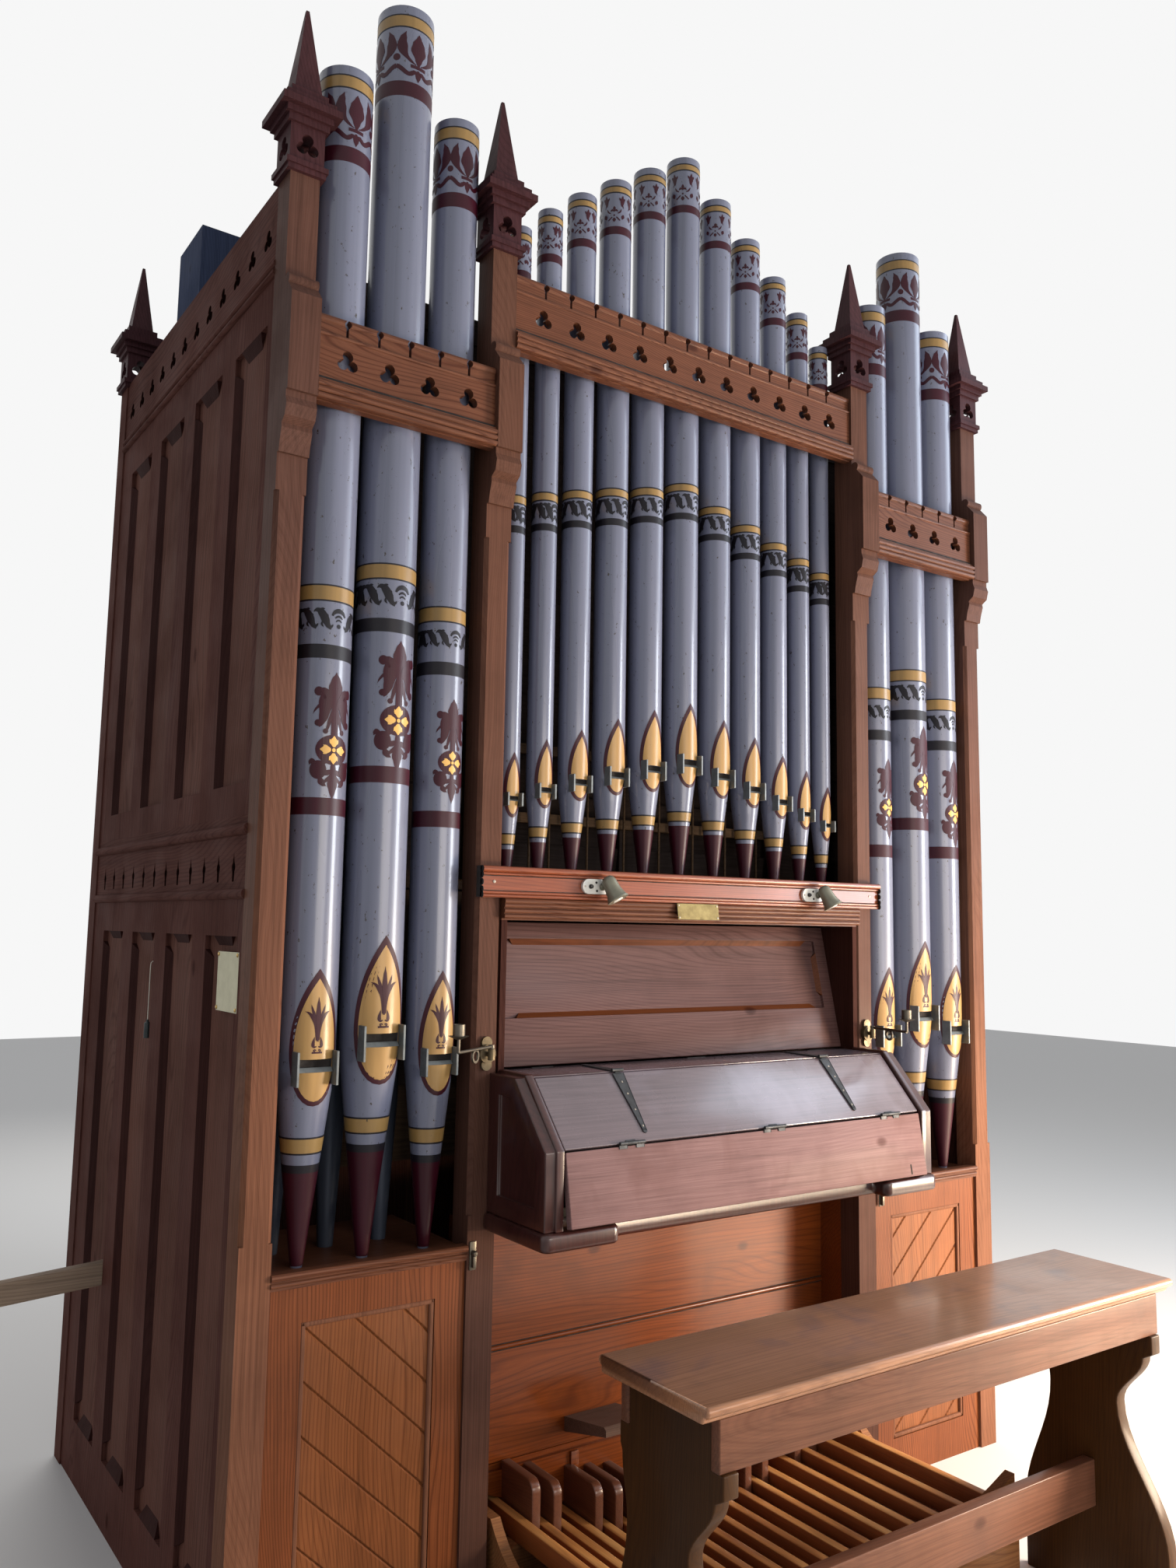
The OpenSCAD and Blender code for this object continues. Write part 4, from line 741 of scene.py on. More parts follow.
# How wide a stroke is along its length: (share of the length, share of the width)
widthTables = {
    "leaf": [(0, 0.06), (0.2, 0.62), (0.45, 1), (0.7, 0.74), (1, 0.02)],
    "petal": [(0, 0.30), (0.2, 0.68), (0.42, 1), (0.65, 0.80), (0.85, 0.36), (1, 0.02)],
    "bud": [(0, 0.14), (0.18, 0.46), (0.46, 1), (0.7, 0.78), (0.88, 0.34), (1, 0.02)],
    "sidePetal": [(0, 0.08), (0.25, 0.30), (0.62, 1), (0.82, 0.66), (1, 0.02)],
    "spear": [(0, 0.34), (0.3, 0.52), (0.6, 1), (0.8, 0.66), (1, 0.02)],
    "comma": [(0, 0.10), (0.16, 0.52), (0.42, 0.94), (0.62, 1), (0.82, 0.62), (1, 0.22)],
    "body": [(0, 0.45), (0.16, 0.72), (0.42, 1), (0.7, 0.66), (0.88, 0.42), (1, 0.36)],
    "drop": [(0, 0.42), (0.3, 0.62), (0.6, 1), (0.78, 0.60), (1, 0.02)],
    "taper": [(0, 1), (0.5, 0.66), (1, 0.04)],
    "hook": [(0, 0.45), (0.3, 0.85), (0.5, 1), (0.7, 0.85), (1, 0.45)],
    "bar": [(0, 1), (1, 1)],
}


def widthAt(rule, t):
    if rule == "disc":
        return 2 * math.sqrt(max(t * (1 - t), 0))
    rows = widthTables[rule]
    for (t0, w0), (t1, w1) in zip(rows, rows[1:]):
        if t <= t1:
            share = (t - t0) / (t1 - t0)
            return w0 + (w1 - w0) * share * share * (3 - 2 * share)
    return rows[-1][1]


strokeLook = {"steps": 14, "cell": 6, "least": 0.12, "thick": 0.3, "step": 0.01, "lift": 0.4}


# A brush stroke of changing width along a curve, laid round the pipe as a thin closed shell
def stroke(bm, pipe, points, width, rule, level, start, flip, lift):
    s = strokeLook
    part = bmesh.new()
    rows = max(2, math.ceil(width / s["cell"]))
    bmesh.ops.create_grid(part, x_segments=s["steps"], y_segments=rows, size=1)
    for v in part.verts:
        t = min(max((v.co.x + 1) / 2, 0.0), 1.0)
        if rule == "disc":
            t = (1 - math.cos(math.pi * t)) / 2
        ahead = curvePoint(points, min(t + s["step"], 1)) - curvePoint(points, max(t - s["step"], 0))
        across = Vector((-ahead.y, ahead.x)).normalized()
        half = max(width / 2 * widthAt(rule, t), s["least"])
        u, z = curvePoint(points, t) + across * half * v.co.y
        v.co = wrap(pipe, flip * u, z + level, lift, start)
    bmesh.ops.recalc_face_normals(part, faces=part.faces[:])
    bmesh.ops.solidify(part, geom=part.faces[:], thickness=s["thick"] * mm)
    joinInto(bm, part)


def motif(bm, pipe, figure, level, start, size=1.0, lift=strokeLook["lift"], flip=1, squeeze=1.0):
    for points, width, rule, mirrored in figures[figure]:
        scaled = [(u * size * squeeze, z * size) for u, z in points]
        wide = width * (1 + squeeze) / 2 * size
        for hand in ((1, -1) if mirrored else (1,)):
            stroke(bm, pipe, scaled, wide, rule, level, start, hand * flip, lift)


# Painted figures, u to the right and z up: points, width, rule for the width, mirrored
figures = {
    "towerTop": [
        ([(0, -23), (0, 56)], 39, "bud", False),
        ([(6, -21), (20, -18), (50, 6), (42, 34), (31, 57)], 25, "sidePetal", True),
        ([(-19, -27), (19, -27)], 8, "bar", False),
        ([(0, -34), (0, -63)], 15, "petal", False),
        ([(2, -40), (12, -38), (20, -50)], 10, "petal", True),
        ([(13, -42), (26, -58), (36, -34), (52, -30)], 10.5, "bar", True),
        ([(43.5, -8), (60.5, -8)], 17, "disc", False),
    ],
    "fleur": [
        ([(0, 88), (0, 176)], 36, "spear", False),
        ([(0, 104), (0, 20)], 17, "bar", False),
        ([(3, 96), (10, 118), (24, 120), (32, 108)], 17, "leaf", True),
        ([(34, 131), (12, 132), (28, 98), (21, 62), (38, 54)], 32, "body", True),
        ([(29, 130), (49, 130)], 21, "disc", True),
        ([(31, 59), (46, 59)], 15, "disc", True),
        ([(36, 98), (46, 90), (50, 78)], 7, "taper", True),
        ([(8, 92), (12, 60), (22, 34)], 9, "leaf", True),
        ([(15, 41), (27, 41)], 12, "disc", True),
        ([(-42, 0), (42, 0)], 68, "disc", False),
        ([(16, -46), (53, -46)], 42, "disc", True),
        ([(12, -26), (26, -30), (40, -34)], 12, "leaf", True),
        ([(40, -30), (50, -22), (54, -36)], 13, "leaf", True),
        ([(6, -44), (14, -54), (26, -56)], 13, "leaf", True),
        ([(30, -58), (30, -76), (14, -82)], 15, "leaf", True),
        ([(8, -56), (14, -72), (26, -76)], 8, "leaf", True),
        ([(0, -28), (0, -112)], 26, "drop", False),
    ],
    "flower": [
        ([(0, 7), (0, 32)], 19, "petal", False),
        ([(0, -7), (0, -32)], 19, "petal", False),
        ([(7, 0), (32, 0)], 19, "petal", True),
        ([(4, 12), (11, 24)], 8, "petal", True),
        ([(4, -12), (11, -24)], 8, "petal", True),
        ([(14, 4), (25, 10)], 7, "petal", True),
        ([(14, -4), (25, -10)], 7, "petal", True),
        ([(-4.5, 0), (4.5, 0)], 9, "disc", False),
    ],
    "wave": [
        ([(-21, 17), (-10, 31), (6, 12), (6, -14), (19, -21)], 18.5, "comma", False),
        ([(-8, 16), (-4, 26), (4, 24)], 7, "leaf", False),
        ([(3, 8), (9, 14), (12, 6)], 6, "leaf", False),
        ([(13, -17), (21, -17), (23, -9)], 6, "leaf", False),
        ([(-1, -4), (-5, -12), (3, -18)], 5, "leaf", False),
    ],
    "bell": [
        ([(-16, 10), (-11, 27), (11, 27), (16, 10)], 11, "hook", False),
        ([(-9, 5), (-4, 12), (4, 12), (9, 5)], 5.5, "hook", False),
        ([(-7, -3), (-3, 3), (3, 3), (7, -3)], 4.5, "hook", False),
        ([(-4.8, -13), (4.8, -13)], 10, "disc", False),
    ],
    "centreTop": [
        ([(30, -58), (34, -12)], 17, "petal", True),
        ([(32, -40), (42, -30), (43, -22)], 8, "leaf", True),
        ([(31, -40), (21, -30), (20, -22)], 8, "leaf", True),
        ([(33, -54), (37, -66)], 5, "taper", True),
        ([(0, -82), (0, -58)], 11, "spear", False),
        ([(1, -80), (9, -70), (14, -82)], 9, "leaf", True),
        ([(28, -70), (25, -84), (13, -88)], 6, "hook", True),
        ([(-3.5, -96), (3.5, -96)], 7, "disc", False),
        ([(8, -103), (23, -117)], 4.8, "bar", True),
        ([(37, -92), (31, -112)], 14, "petal", True),
        ([(0, -107), (0, -124)], 14, "petal", False),
    ],
    "centreWave": [
        ([(-24, 24), (-8, 38), (8, 14), (4, -18), (20, -24)], 22, "comma", False),
        ([(-6, 24), (0, 34), (8, 28)], 9, "leaf", False),
        ([(5, 12), (13, 16), (15, 6)], 8, "leaf", False),
        ([(14, -20), (25, -20), (26, -10)], 7, "leaf", False),
        ([(-1, -4), (-6, -14), (3, -21)], 6, "leaf", False),
    ],
    "centreBell": [
        ([(-16, 16), (-12, 32), (12, 32), (16, 16)], 14, "hook", False),
        ([(-9, 6), (-4, 13), (4, 13), (9, 6)], 9, "hook", False),
        ([(-6, -11), (6, -11)], 13, "disc", False),
        ([(9, -20), (15, -31)], 6, "leaf", True),
    ],
    "shieldLily": [
        ([(0, 24), (0, 113)], 11, "spear", False),
        ([(1.5, 26), (2, 66), (12, 84), (15, 98)], 6.5, "spear", True),
        ([(3, 26), (4, 62), (12, 82), (27, 84)], 7, "spear", True),
        ([(2, 14), (13, 8), (8, 26), (6, 33)], 7, "petal", True),
        ([(2, 6), (7, 10), (9, 4), (4, 3)], 2.6, "bar", True),
        ([(-11, 1.5), (11, 1.5)], 3.6, "bar", False),
    ],
}

# Painted bands: piece, reach below and above the place, places on the pipes (by n)
bands = {
    "tower": {
        "gold": ("pipeGoldBands", 13, 13, (3340, 3551, 3341)),
        "maroon": ("pipeMaroonBands", 18, 18, (3168, 3383, 3172)),
        "midGold": ("pipeGoldBands", 15, 15, (2172, 2244, 2174)),
        "midBlack": ("pipeDarkLines", 15, 15, (2046, 2124, 2050)),
        "lowMaroon": ("pipeMaroonBands", 18, 18, (1719, 1797, 1711)),
        "footGold": ("pipeGoldBands", 13, 15, (1029, 1059, 1025)),
        "footBlack": ("pipeDarkLines", 22, -6, (998, 1027, 991)),
    },
    "centre": {
        "topGold": ("pipeGoldBands", 7, 7, (3556, 3480, 3404, 3328, 3252, 3176)),
        "maroon": ("pipeMaroonBands", 22, 0, (3445, 3384, 3301, 3231, 3159, 3088)),
        "gold": ("pipeGoldBands", 17, 0, (2652, 2615, 2588, 2560, 2535, 2510)),
        "black": ("pipeDarkLines", 18, 0, (2574, 2541, 2511, 2484, 2458, 2436)),
        "footGold": ("pipeGoldBands", 21, 0, (1777, 1760, 1743, 1728, 1712, 1691)),
    },
}
bandLook = {"inner": -0.15, "lift": 0.35, "lineLift": 0.45, "line": 3.5, "steps": 40}

# The maroon foot: above the pipe's tip, the band it ends at, and how far below that band's place
footPaint = {"tower": (4, "footBlack", 22), "centre": (3, "footGold", 34)}

# Scrolls between two bands: piece, figures, first angle, scrolls on each side of the bell, pitch, gap
scrolls = {
    "tower": ("towerLeafBands", "bell", "wave", 9, 3, 29, 3),
    "centre": ("centreLeafBands", "centreBell", "centreWave", 22, 2, 36, 0),
}

# Pointed fields round the mouths: half width, its height, apex and foot; widths of the rim
shields = {
    "tower": {"wide": (57, 63, 50), "wideZ": (1222, 1260, 1214), "apex": (1386, 1455, 1380),
              "low": (1110, 1145, 1112)},
    "centre": {"wideShare": 0.9, "aboveSlot": 14, "apex": (2063, 2032, 1997, 1958, 1925, 1886),
               "low": (1841, 1821, 1804, 1782, 1758, 1731)},
    "rim": {"tower": 9.5, "centre": 8.5}, "rimApex": 2.1, "rimWideZ": 2,
    "borderLift": 0.45, "fieldLift": 0.8, "thick": 0.25,
    "edgeMost": 0.96, "edgeStep": 0.01, "footRows": 6, "topRows": 14, "columns": 8,
}

# Sizes of the figures: the pipe's radius at which one has its drawn size, its height there, angles
figureLook = {
    "towerR": 66, "towerTopHigh": 130, "towerTopTurn": 3, "goldToFigure": 16, "figureToMaroon": 18,
    "towerTopRoom": 38,
    "waveShare": 0.54, "flowerZ": (1838, 1916, 1838), "fleurTurn": 9, "flowerLift": 0.8, "lilyHigh": 182,
    "lilyGap": 12, "lilyLift": 1.1,
    "centreR": 45, "centreTopHigh": 135, "centreTopTurn": 49, "centreTopDrop": 8, "centreTopRoom": 12,
    "centreWaveHigh": 78, "centreWaveGap": 21,
}


# A painted ring between two heights; it follows the cone of the foot
def band(bm, pipe, low, high, lift):
    corners = ((low, bandLook["inner"]), (low, lift), (high, lift), (high, bandLook["inner"]))
    outline = [(radiusAt(pipe, z) + out, z) for z, out in corners]
    turned(bm, (pipe["x"], pipe["y"], 0), outline, bandLook["steps"])


def placeOf(pipe, name):
    return bands[pipe["kind"]][name][3][pipe["n"]]


def paintBands(layers, pipe, s):
    for layer, below, above, places in bands[pipe["kind"]].values():
        low, high = places[pipe["n"]] - below, places[pipe["n"]] + above
        band(layers[layer], pipe, low, high, s["lift"])
        if layer == "pipeGoldBands":
            band(layers["pipeDarkLines"], pipe, low - s["line"], low, s["lineLift"])
            band(layers["pipeDarkLines"], pipe, high, high + s["line"], s["lineLift"])
    above, name, below = footPaint[pipe["kind"]]
    band(layers["pipeMaroonBands"], pipe, pipe["base"] + above, placeOf(pipe, name) - below, s["lift"])


def paintScrolls(layers, pipe, level, size):
    layer, bell, wave, first, count, pitch, gap = scrolls[pipe["kind"]]
    for facing in (first, first + 180):
        motif(layers[layer], pipe, bell, level, facing, size)
        for step in range(1, count + 1):
            for flip in (1, -1):
                motif(layers[layer], pipe, wave, level, facing - flip * (step * pitch + gap), size, flip=flip)


def paintTower(layers, pipe, s):
    size = pipe["r"] / s["towerR"]
    gold, maroon = placeOf(pipe, "gold"), placeOf(pipe, "maroon")
    middle = (gold - s["goldToFigure"] + maroon + s["figureToMaroon"]) / 2
    topSize = (gold - maroon - s["towerTopRoom"]) / s["towerTopHigh"]
    for facing in (0, 90, 180, 270):
        motif(layers["towerFigures"], pipe, "towerTop", middle, facing + s["towerTopTurn"], topSize,
              squeeze=size / topSize)
    gold, black = placeOf(pipe, "midGold"), placeOf(pipe, "midBlack")
    paintScrolls(layers, pipe, gold * s["waveShare"] + black * (1 - s["waveShare"]), size)
    level = s["flowerZ"][pipe["n"]]
    for facing in (0, 180):
        motif(layers["towerFigures"], pipe, "fleur", level, facing + s["fleurTurn"], size)
        motif(layers["towerFlowers"], pipe, "flower", level, facing + s["fleurTurn"], size, s["flowerLift"])
    slotTop = pipe["mouth"] + pipe["slot"]
    lilySize = (shields["tower"]["apex"][pipe["n"]] - slotTop) / s["lilyHigh"]
    motif(layers["towerFigures"], pipe, "shieldLily", slotTop + s["lilyGap"], 0, lilySize, s["lilyLift"])


def paintCentre(layers, pipe, s):
    top, maroon = placeOf(pipe, "topGold"), placeOf(pipe, "maroon")
    size = min(pipe["r"] / s["centreR"], (top - s["centreTopRoom"] - maroon) / s["centreTopHigh"])
    level = top - s["centreTopDrop"]
    for facing in (0, 90, 180, 270):
        motif(layers["centreStars"], pipe, "centreTop", level, facing + s["centreTopTurn"], size)
    gold, black = placeOf(pipe, "gold") - s["centreWaveGap"], placeOf(pipe, "black")
    paintScrolls(layers, pipe, (gold + black) / 2, (gold - black) / s["centreWaveHigh"])


def shieldHalf(z, wide, wideZ, apex, low):
    if z >= wideZ:
        rise = apex - wideZ
        radius = (rise * rise + wide * wide) / (2 * wide)
        return max(math.sqrt(max(radius * radius - (z - wideZ) ** 2, 0)) - (radius - wide), 0.05)
    share = min((wideZ - z) / (wideZ - low), 1)
    return max(wide * math.sqrt(1 - share * share), 0.05)


# A pointed gold field or its border, laid on the pipe, open at the mouth slot
def shield(bm, pipe, wide, wideZ, apex, low, lift, s):
    mouth, slotTop = pipe["mouth"], pipe["mouth"] + pipe["slot"]
    edge = min(math.asin(mouths["slotHalf"]) * pipe["r"] / wide, s["edgeMost"])
    rows, count = s["footRows"], s["topRows"]
    heights = [low + (mouth - low) * (1 - math.cos(math.pi / 2 * i / rows)) for i in range(rows + 1)]
    heights += [slotTop + (apex - slotTop) * i / count for i in range(count + 1)]
    inner = [-edge + 2 * edge * i / s["columns"] for i in range(1, s["columns"])]
    columns = [-1, -edge - s["edgeStep"], -edge, *inner, edge, edge + s["edgeStep"], 1]
    part = bmesh.new()
    bmesh.ops.create_grid(part, x_segments=len(columns) - 1, y_segments=len(heights) - 1, size=1)
    for v in part.verts:
        i = round((v.co.x + 1) / 2 * (len(columns) - 1))
        j = round((v.co.y + 1) / 2 * (len(heights) - 1))
        v.co = Vector((columns[i], heights[j], 0))
    middles = [(f, f.calc_center_median()) for f in part.faces]
    hidden = [f for f, at in middles if mouth < at.y < slotTop and abs(at.x) < edge]
    bmesh.ops.delete(part, geom=hidden, context="FACES")
    for v in part.verts:
        z = v.co.y
        v.co = wrap(pipe, v.co.x * shieldHalf(z, wide, wideZ, apex, low), z, lift, 0)
    bmesh.ops.remove_doubles(part, verts=part.verts[:], dist=0.00002)
    bmesh.ops.recalc_face_normals(part, faces=part.faces[:])
    bmesh.ops.solidify(part, geom=part.faces[:], thickness=s["thick"] * mm)
    joinInto(bm, part)


def paintShield(layers, pipe, s):
    n, row = pipe["n"], s[pipe["kind"]]
    wide = row["wide"][n] if "wide" in row else pipe["r"] * row["wideShare"]
    wideZ = row["wideZ"][n] if "wideZ" in row else pipe["mouth"] + pipe["slot"] + row["aboveSlot"]
    apex, low, rim = row["apex"][n], row["low"][n], s["rim"][pipe["kind"]]
    shield(layers["mouthBorders"], pipe, wide, wideZ, apex, low, s["borderLift"], s)
    apex -= rim * s["rimApex"]
    shield(layers["mouthFields"], pipe, wide - rim, wideZ - s["rimWideZ"], apex, low + rim, s["fieldLift"], s)


# piece: finish, smooth below this angle
paintLayers = {
    "pipeGoldBands": ("goldBand", 40), "pipeDarkLines": ("blackPaint", 40),
    "pipeMaroonBands": ("maroonPaint", 40),
    "towerLeafBands": ("blackPaint", None), "towerFigures": ("maroonPaint", None),
    "towerFlowers": ("yellowPaint", None),
    "centreLeafBands": ("blackPaint", None), "centreStars": ("maroonPaint", None),
    "mouthBorders": ("maroonPaint", 40), "mouthFields": ("goldPaint", 40),
}


def paintPipes(pieces):
    layers = {name: bmesh.new() for name in pieces}
    for pipe in pipes:
        paintBands(layers, pipe, bandLook)
        if pipe["kind"] == "tower":
            paintTower(layers, pipe, figureLook)
        else:
            paintCentre(layers, pipe, figureLook)
        paintShield(layers, pipe, shields)
    for name, (look, smooth) in pieces.items():
        meshPiece(name, layers[name], look, smooth=smooth)


paintPipes(paintLayers)


def addMouths(s):
    ears, slotShades, lips = bmesh.new(), bmesh.new(), bmesh.new()
    cover, clear = s["earCover"], s["clear"]
    for pipe in pipes:
        x, y, r, z, high = (pipe[k] for k in ("x", "y", "r", "mouth", "slot"))
        for side in (-1, 1):
            block(ears, about(x + side * r * s["earAt"], s["earHalf"] + cover),
                  (y - r - s["earOut"] - cover, y - r * s["earBack"]),
                  (z - high - cover, z + s["earAbove"] * high + cover), s["earEdge"], 1)
        # A black sheet of painted shade behind each mouth slot, for the dark inside the pipe
        half = s["slotHalf"] * r - 2 * clear
        back = y - s["slotBack"] * r
        block(slotShades, about(x, half), [back + d for d in s["darkThick"]], (z + clear, z + high - clear))
        lip = cube((2 * half, s["lipDeep"] * r, s["lipShare"] * high))
        shift(lip, (0, s["lipLean"] * r, 0), [v for v in lip.verts if v.co.z > 0 and v.co.y < 0])
        shift(lip, (x, y - s["lipAt"] * r, z + s["lipShare"] * high / 2))
        joinInto(lips, lip)
    meshPiece("pipeEars", ears, "mouthMetal")
    meshPiece("mouthShadeSheets", slotShades, "shadowGap")
    meshPiece("mouthLips", lips, "mouthMetal")


addMouths(mouths)

print("stage: behind the pipes")

innerFrame = {
    "louvreY": (262, 300), "louvreX": 1116, "lowZ": 1100, "topZ": 3060, "boards": 14, "stile": 70,
    "boardThick": 12, "boardOver": 8, "boardLean": 9, "proud": 4, "edge": 2,
    "trackerY": (205, 235), "trackerZ": (1612, 1990), "trackers": 17, "trackerR": 3.2, "trackerHalf": 480,
    "trackerFrame": 520, "barHalf": 12, "barHigh": 26, "bars": (130, -70), "postHalf": 14,
}


def addInnerFrame(s):
    louvres, frameBars, rods = bmesh.new(), bmesh.new(), bmesh.new()
    y0, y1 = s["louvreY"]
    w, x, edge = s["stile"], s["louvreX"], s["edge"]
    low, high = s["lowZ"] + w, s["topZ"] - w
    pitch = (high - low) / s["boards"]
    for k in range(s["boards"]):
        part = cube((2 * (x - w), s["boardThick"], pitch + s["boardOver"]), edge)
        rotate(part, s["boardLean"], "X")
        shift(part, (0, (y0 + y1) / 2, low + pitch * (k + 0.5)))
        joinInto(louvres, part)
    for xs, zs in (((-x, x), (s["lowZ"], low)), ((-x, x), (high, s["topZ"])), ((-x, w - x), (low, high)),
                   ((x - w, x), (low, high)), (about(0, w / 2), (low, high))):
        block(frameBars, xs, (y0 - s["proud"], y1 + s["proud"]), zs, edge)
    meshPiece("innerLouvres", louvres, "innerDark")
    meshPiece("innerLouvreFrame", frameBars, "innerDark")
    rodY, frameY = s["trackerY"]
    z0, z1 = s["trackerZ"]
    for k in range(s["trackers"]):
        x = s["trackerHalf"] * (2 * k / (s["trackers"] - 1) - 1)
        knob(rods, (x, rodY, 0), ([(s["trackerR"], z0), (s["trackerR"], z1)], z1, 10))
    for z in (z0 + s["bars"][0], z1 + s["bars"][1]):
        block(rods, about(0, s["trackerFrame"]), about(frameY, s["barHalf"]), (z, z + s["barHigh"]), edge)
    for x in (-s["trackerFrame"], s["trackerFrame"]):
        block(rods, about(x, s["postHalf"]), about(frameY, s["barHalf"]), (z0, z1), edge)
    meshPiece("trackerRods", rods, "innerBoard", smooth=40)


addInnerFrame(innerFrame)

print("stage: tower panels")

panelBoards = {
    "bayX": 864.25, "halfWide": 148.75, "z": (100, 692), "face": -11.5,
    "boards": 7, "length": 1100, "pitch": 75, "gap": 0.6, "thick": 6, "vee": 3.2, "angle": 43,
    "beadOut": 7, "beadWide": 11, "beadEdge": 4,
}


# Cuts off what lies beyond a plane, and closes the cut
def trimmed(part, point, normal):
    cut = bmesh.ops.bisect_plane(part, geom=part.verts[:] + part.edges[:] + part.faces[:], dist=0.000001,
                                 plane_co=Vector(point) * mm, plane_no=normal, clear_outer=True)
    rim = [g for g in cut["geom_cut"] if isinstance(g, bmesh.types.BMEdge)]
    if rim:
        bmesh.ops.holes_fill(part, edges=rim, sides=0)


def addPanelBoards(s):
    low, high = s["z"]
    w = s["beadWide"]
    for side, name in ((-1, "left"), (1, "right")):
        bm, bead = bmesh.new(), bmesh.new()
        x0, x1 = about(side * s["bayX"], s["halfWide"])
        for k in range(-s["boards"], s["boards"] + 1):
            part = cube((s["length"], s["thick"], s["pitch"] - s["gap"]))
            ends = [(e, e.verts[0].co, e.verts[1].co) for e in part.edges]
            rounded(part, [e for e, a, b in ends if abs(a.x - b.x) > 0.5 and a.y < 0], s["vee"], 1)
            shift(part, (0, 0, k * s["pitch"]))
            rotate(part, -side * s["angle"], "Y")
            shift(part, (side * s["bayX"], s["face"] - s["thick"] / 2, (low + high) / 2))
            for point, normal in (((x0, 0, 0), (-1, 0, 0)), ((x1, 0, 0), (1, 0, 0)),
                                  ((0, 0, low), (0, 0, -1)), ((0, 0, high), (0, 0, 1))):
                trimmed(part, point, normal)
            joinInto(bm, part)
        meshPiece(name + "DiagonalBoards", bm, "boardPine")
        for xs, zs in (((x0, x0 + w), (low, high)), ((x1 - w, x1), (low, high)),
                       ((x0, x1), (low, low + w)), ((x0, x1), (high - w, high))):
            block(bead, xs, (s["face"] - s["thick"] - s["beadOut"], s["face"]), zs, s["beadEdge"], 3)
        meshPiece(name + "PanelBead", bead, "postPineUp", smooth=35)


addPanelBoards(panelBoards)

print("stage: mouldings and chamfers")

mouldings = {
    # node: where its foot stands out to
    "rails": {"left_tower_rail": -72.5, "right_tower_rail": -72.5, "centre_rail": -38.5},
    "faceBack": 13, "endGap": 0.5,
    "reedZ": (9, 22.5, 36), "reedR": 6.8, "reedIn": 2.2, "topReed": (152, 4.5, 1.5), "steps": 14,
    "groove": (49, 56), "grooveY": (-1.2, 0.5),
    "impostFace": -53.5, "impostShadeLines": (6.6, 14.2, 47.5, 56.4), "lineHigh": 1.9, "lineHalf": 0.5,
}


def addMouldings(s):
    ribs, grooveShades = bmesh.new(), bmesh.new()
    for node, front in s["rails"].items():
        (x0, _, z0), (x1, _, _) = boxOf(node)
        x0, x1 = x0 + s["endGap"], x1 - s["endGap"]
        face = front + s["faceBack"]
        topZ, topR, topIn = s["topReed"]
        reeds = [(front + s["reedIn"], z, s["reedR"]) for z in s["reedZ"]] + [(face + topIn, topZ, topR)]
        for y, z, r in reeds:
            rod(ribs, (x0, y, z0 + z), (x1, y, z0 + z), r, s["steps"])
        # A dark strip of painted shade in the groove under the band
        block(grooveShades, (x0, x1), [face + d for d in s["grooveY"]], [z0 + z for z in s["groove"]])
    # Dark strips of painted shade between the impost's beads
    (x0, _, z0), (x1, _, _) = boxOf("impost")
    for z in s["impostShadeLines"]:
        block(grooveShades, (x0 + s["endGap"], x1 - s["endGap"]), about(s["impostFace"], s["lineHalf"]),
              (z0 + z, z0 + z + s["lineHigh"]))
    meshPiece("railReeds", ribs, "railPineAcross", smooth=45)
    meshPiece("railGrooveShades", grooveShades, "shadowGap")


addMouldings(mouldings)

# Chamfers of the sunk panels in the side walls: strips that stop short of the corners, painted a darker shade
# of the wall's pine for the shade they lie in
chamfers = {
    "wide": 30, "stop": 40, "wallX": 1146, "floorX": 1134, "taper": 0.6, "muntin": 94, "panels": 4,
    "heights": ((150, 1458), (1690, 2775)),
}


# Three-sided strip from start to end; inward lies along the panel, outward towards the wall's face
def chamferStrip(bm, start, end, inward, outward, taper):
    part = bmesh.new()
    start, end, inward, outward = (Vector(v) for v in (start, end, inward, outward))
    tuck = (end - start).normalized() * taper
    a, b = [[part.verts.new(p * mm) for p in (at, at + inward + step, at + outward)]
            for at, step in ((start, tuck), (end, -tuck))]
    for i in range(3):
        j = (i + 1) % 3
        part.faces.new((a[i], a[j], b[j], b[i]))
    part.faces.new(a)
    part.faces.new(b)
    bmesh.ops.recalc_face_normals(part, faces=part.faces[:])
    joinInto(bm, part)


# The four strips of a panel whose corners are (u0, v0) and (u1, v1): start, end and the step inward
def panelSides(u0, u1, v0, v1, stop, wide):
    return (((u0, v0 + stop), (u0, v1 - stop), (wide, 0)), ((u1, v0 + stop), (u1, v1 - stop), (-wide, 0)),
            ((u0 + stop, v1), (u1 - stop, v1), (0, -wide)), ((u0 + stop, v0), (u1 - stop, v0), (0, wide)))


def addChamfers(s):
    for side, name in ((-1, "left"), (1, "right")):
        bm = bmesh.new()
        (_, y0, _), (_, y1, _) = boxOf(name + "_side_panels")
        wide = (y1 - y0 - (s["panels"] - 1) * s["muntin"]) / s["panels"]
        floor = s["floorX"] * side
        rise = (s["wallX"] - s["floorX"]) * side
        for k in range(s["panels"]):
            y = y0 + k * (wide + s["muntin"])
            for z0, z1 in s["heights"]:
                for p, q, inward in panelSides(y, y + wide, z0, z1, s["stop"], s["wide"]):
                    chamferStrip(bm, (floor, *p), (floor, *q), (0, *inward), (rise, 0, 0),
                                 s["wide"] * s["taper"])
        meshPiece(name + "ShadedWallChamfers", bm, "shadedWallChamfer")


addChamfers(chamfers)

print("stage: small fittings")

forward = (0, -1, 0)
leftward = (-1, 0, 0)

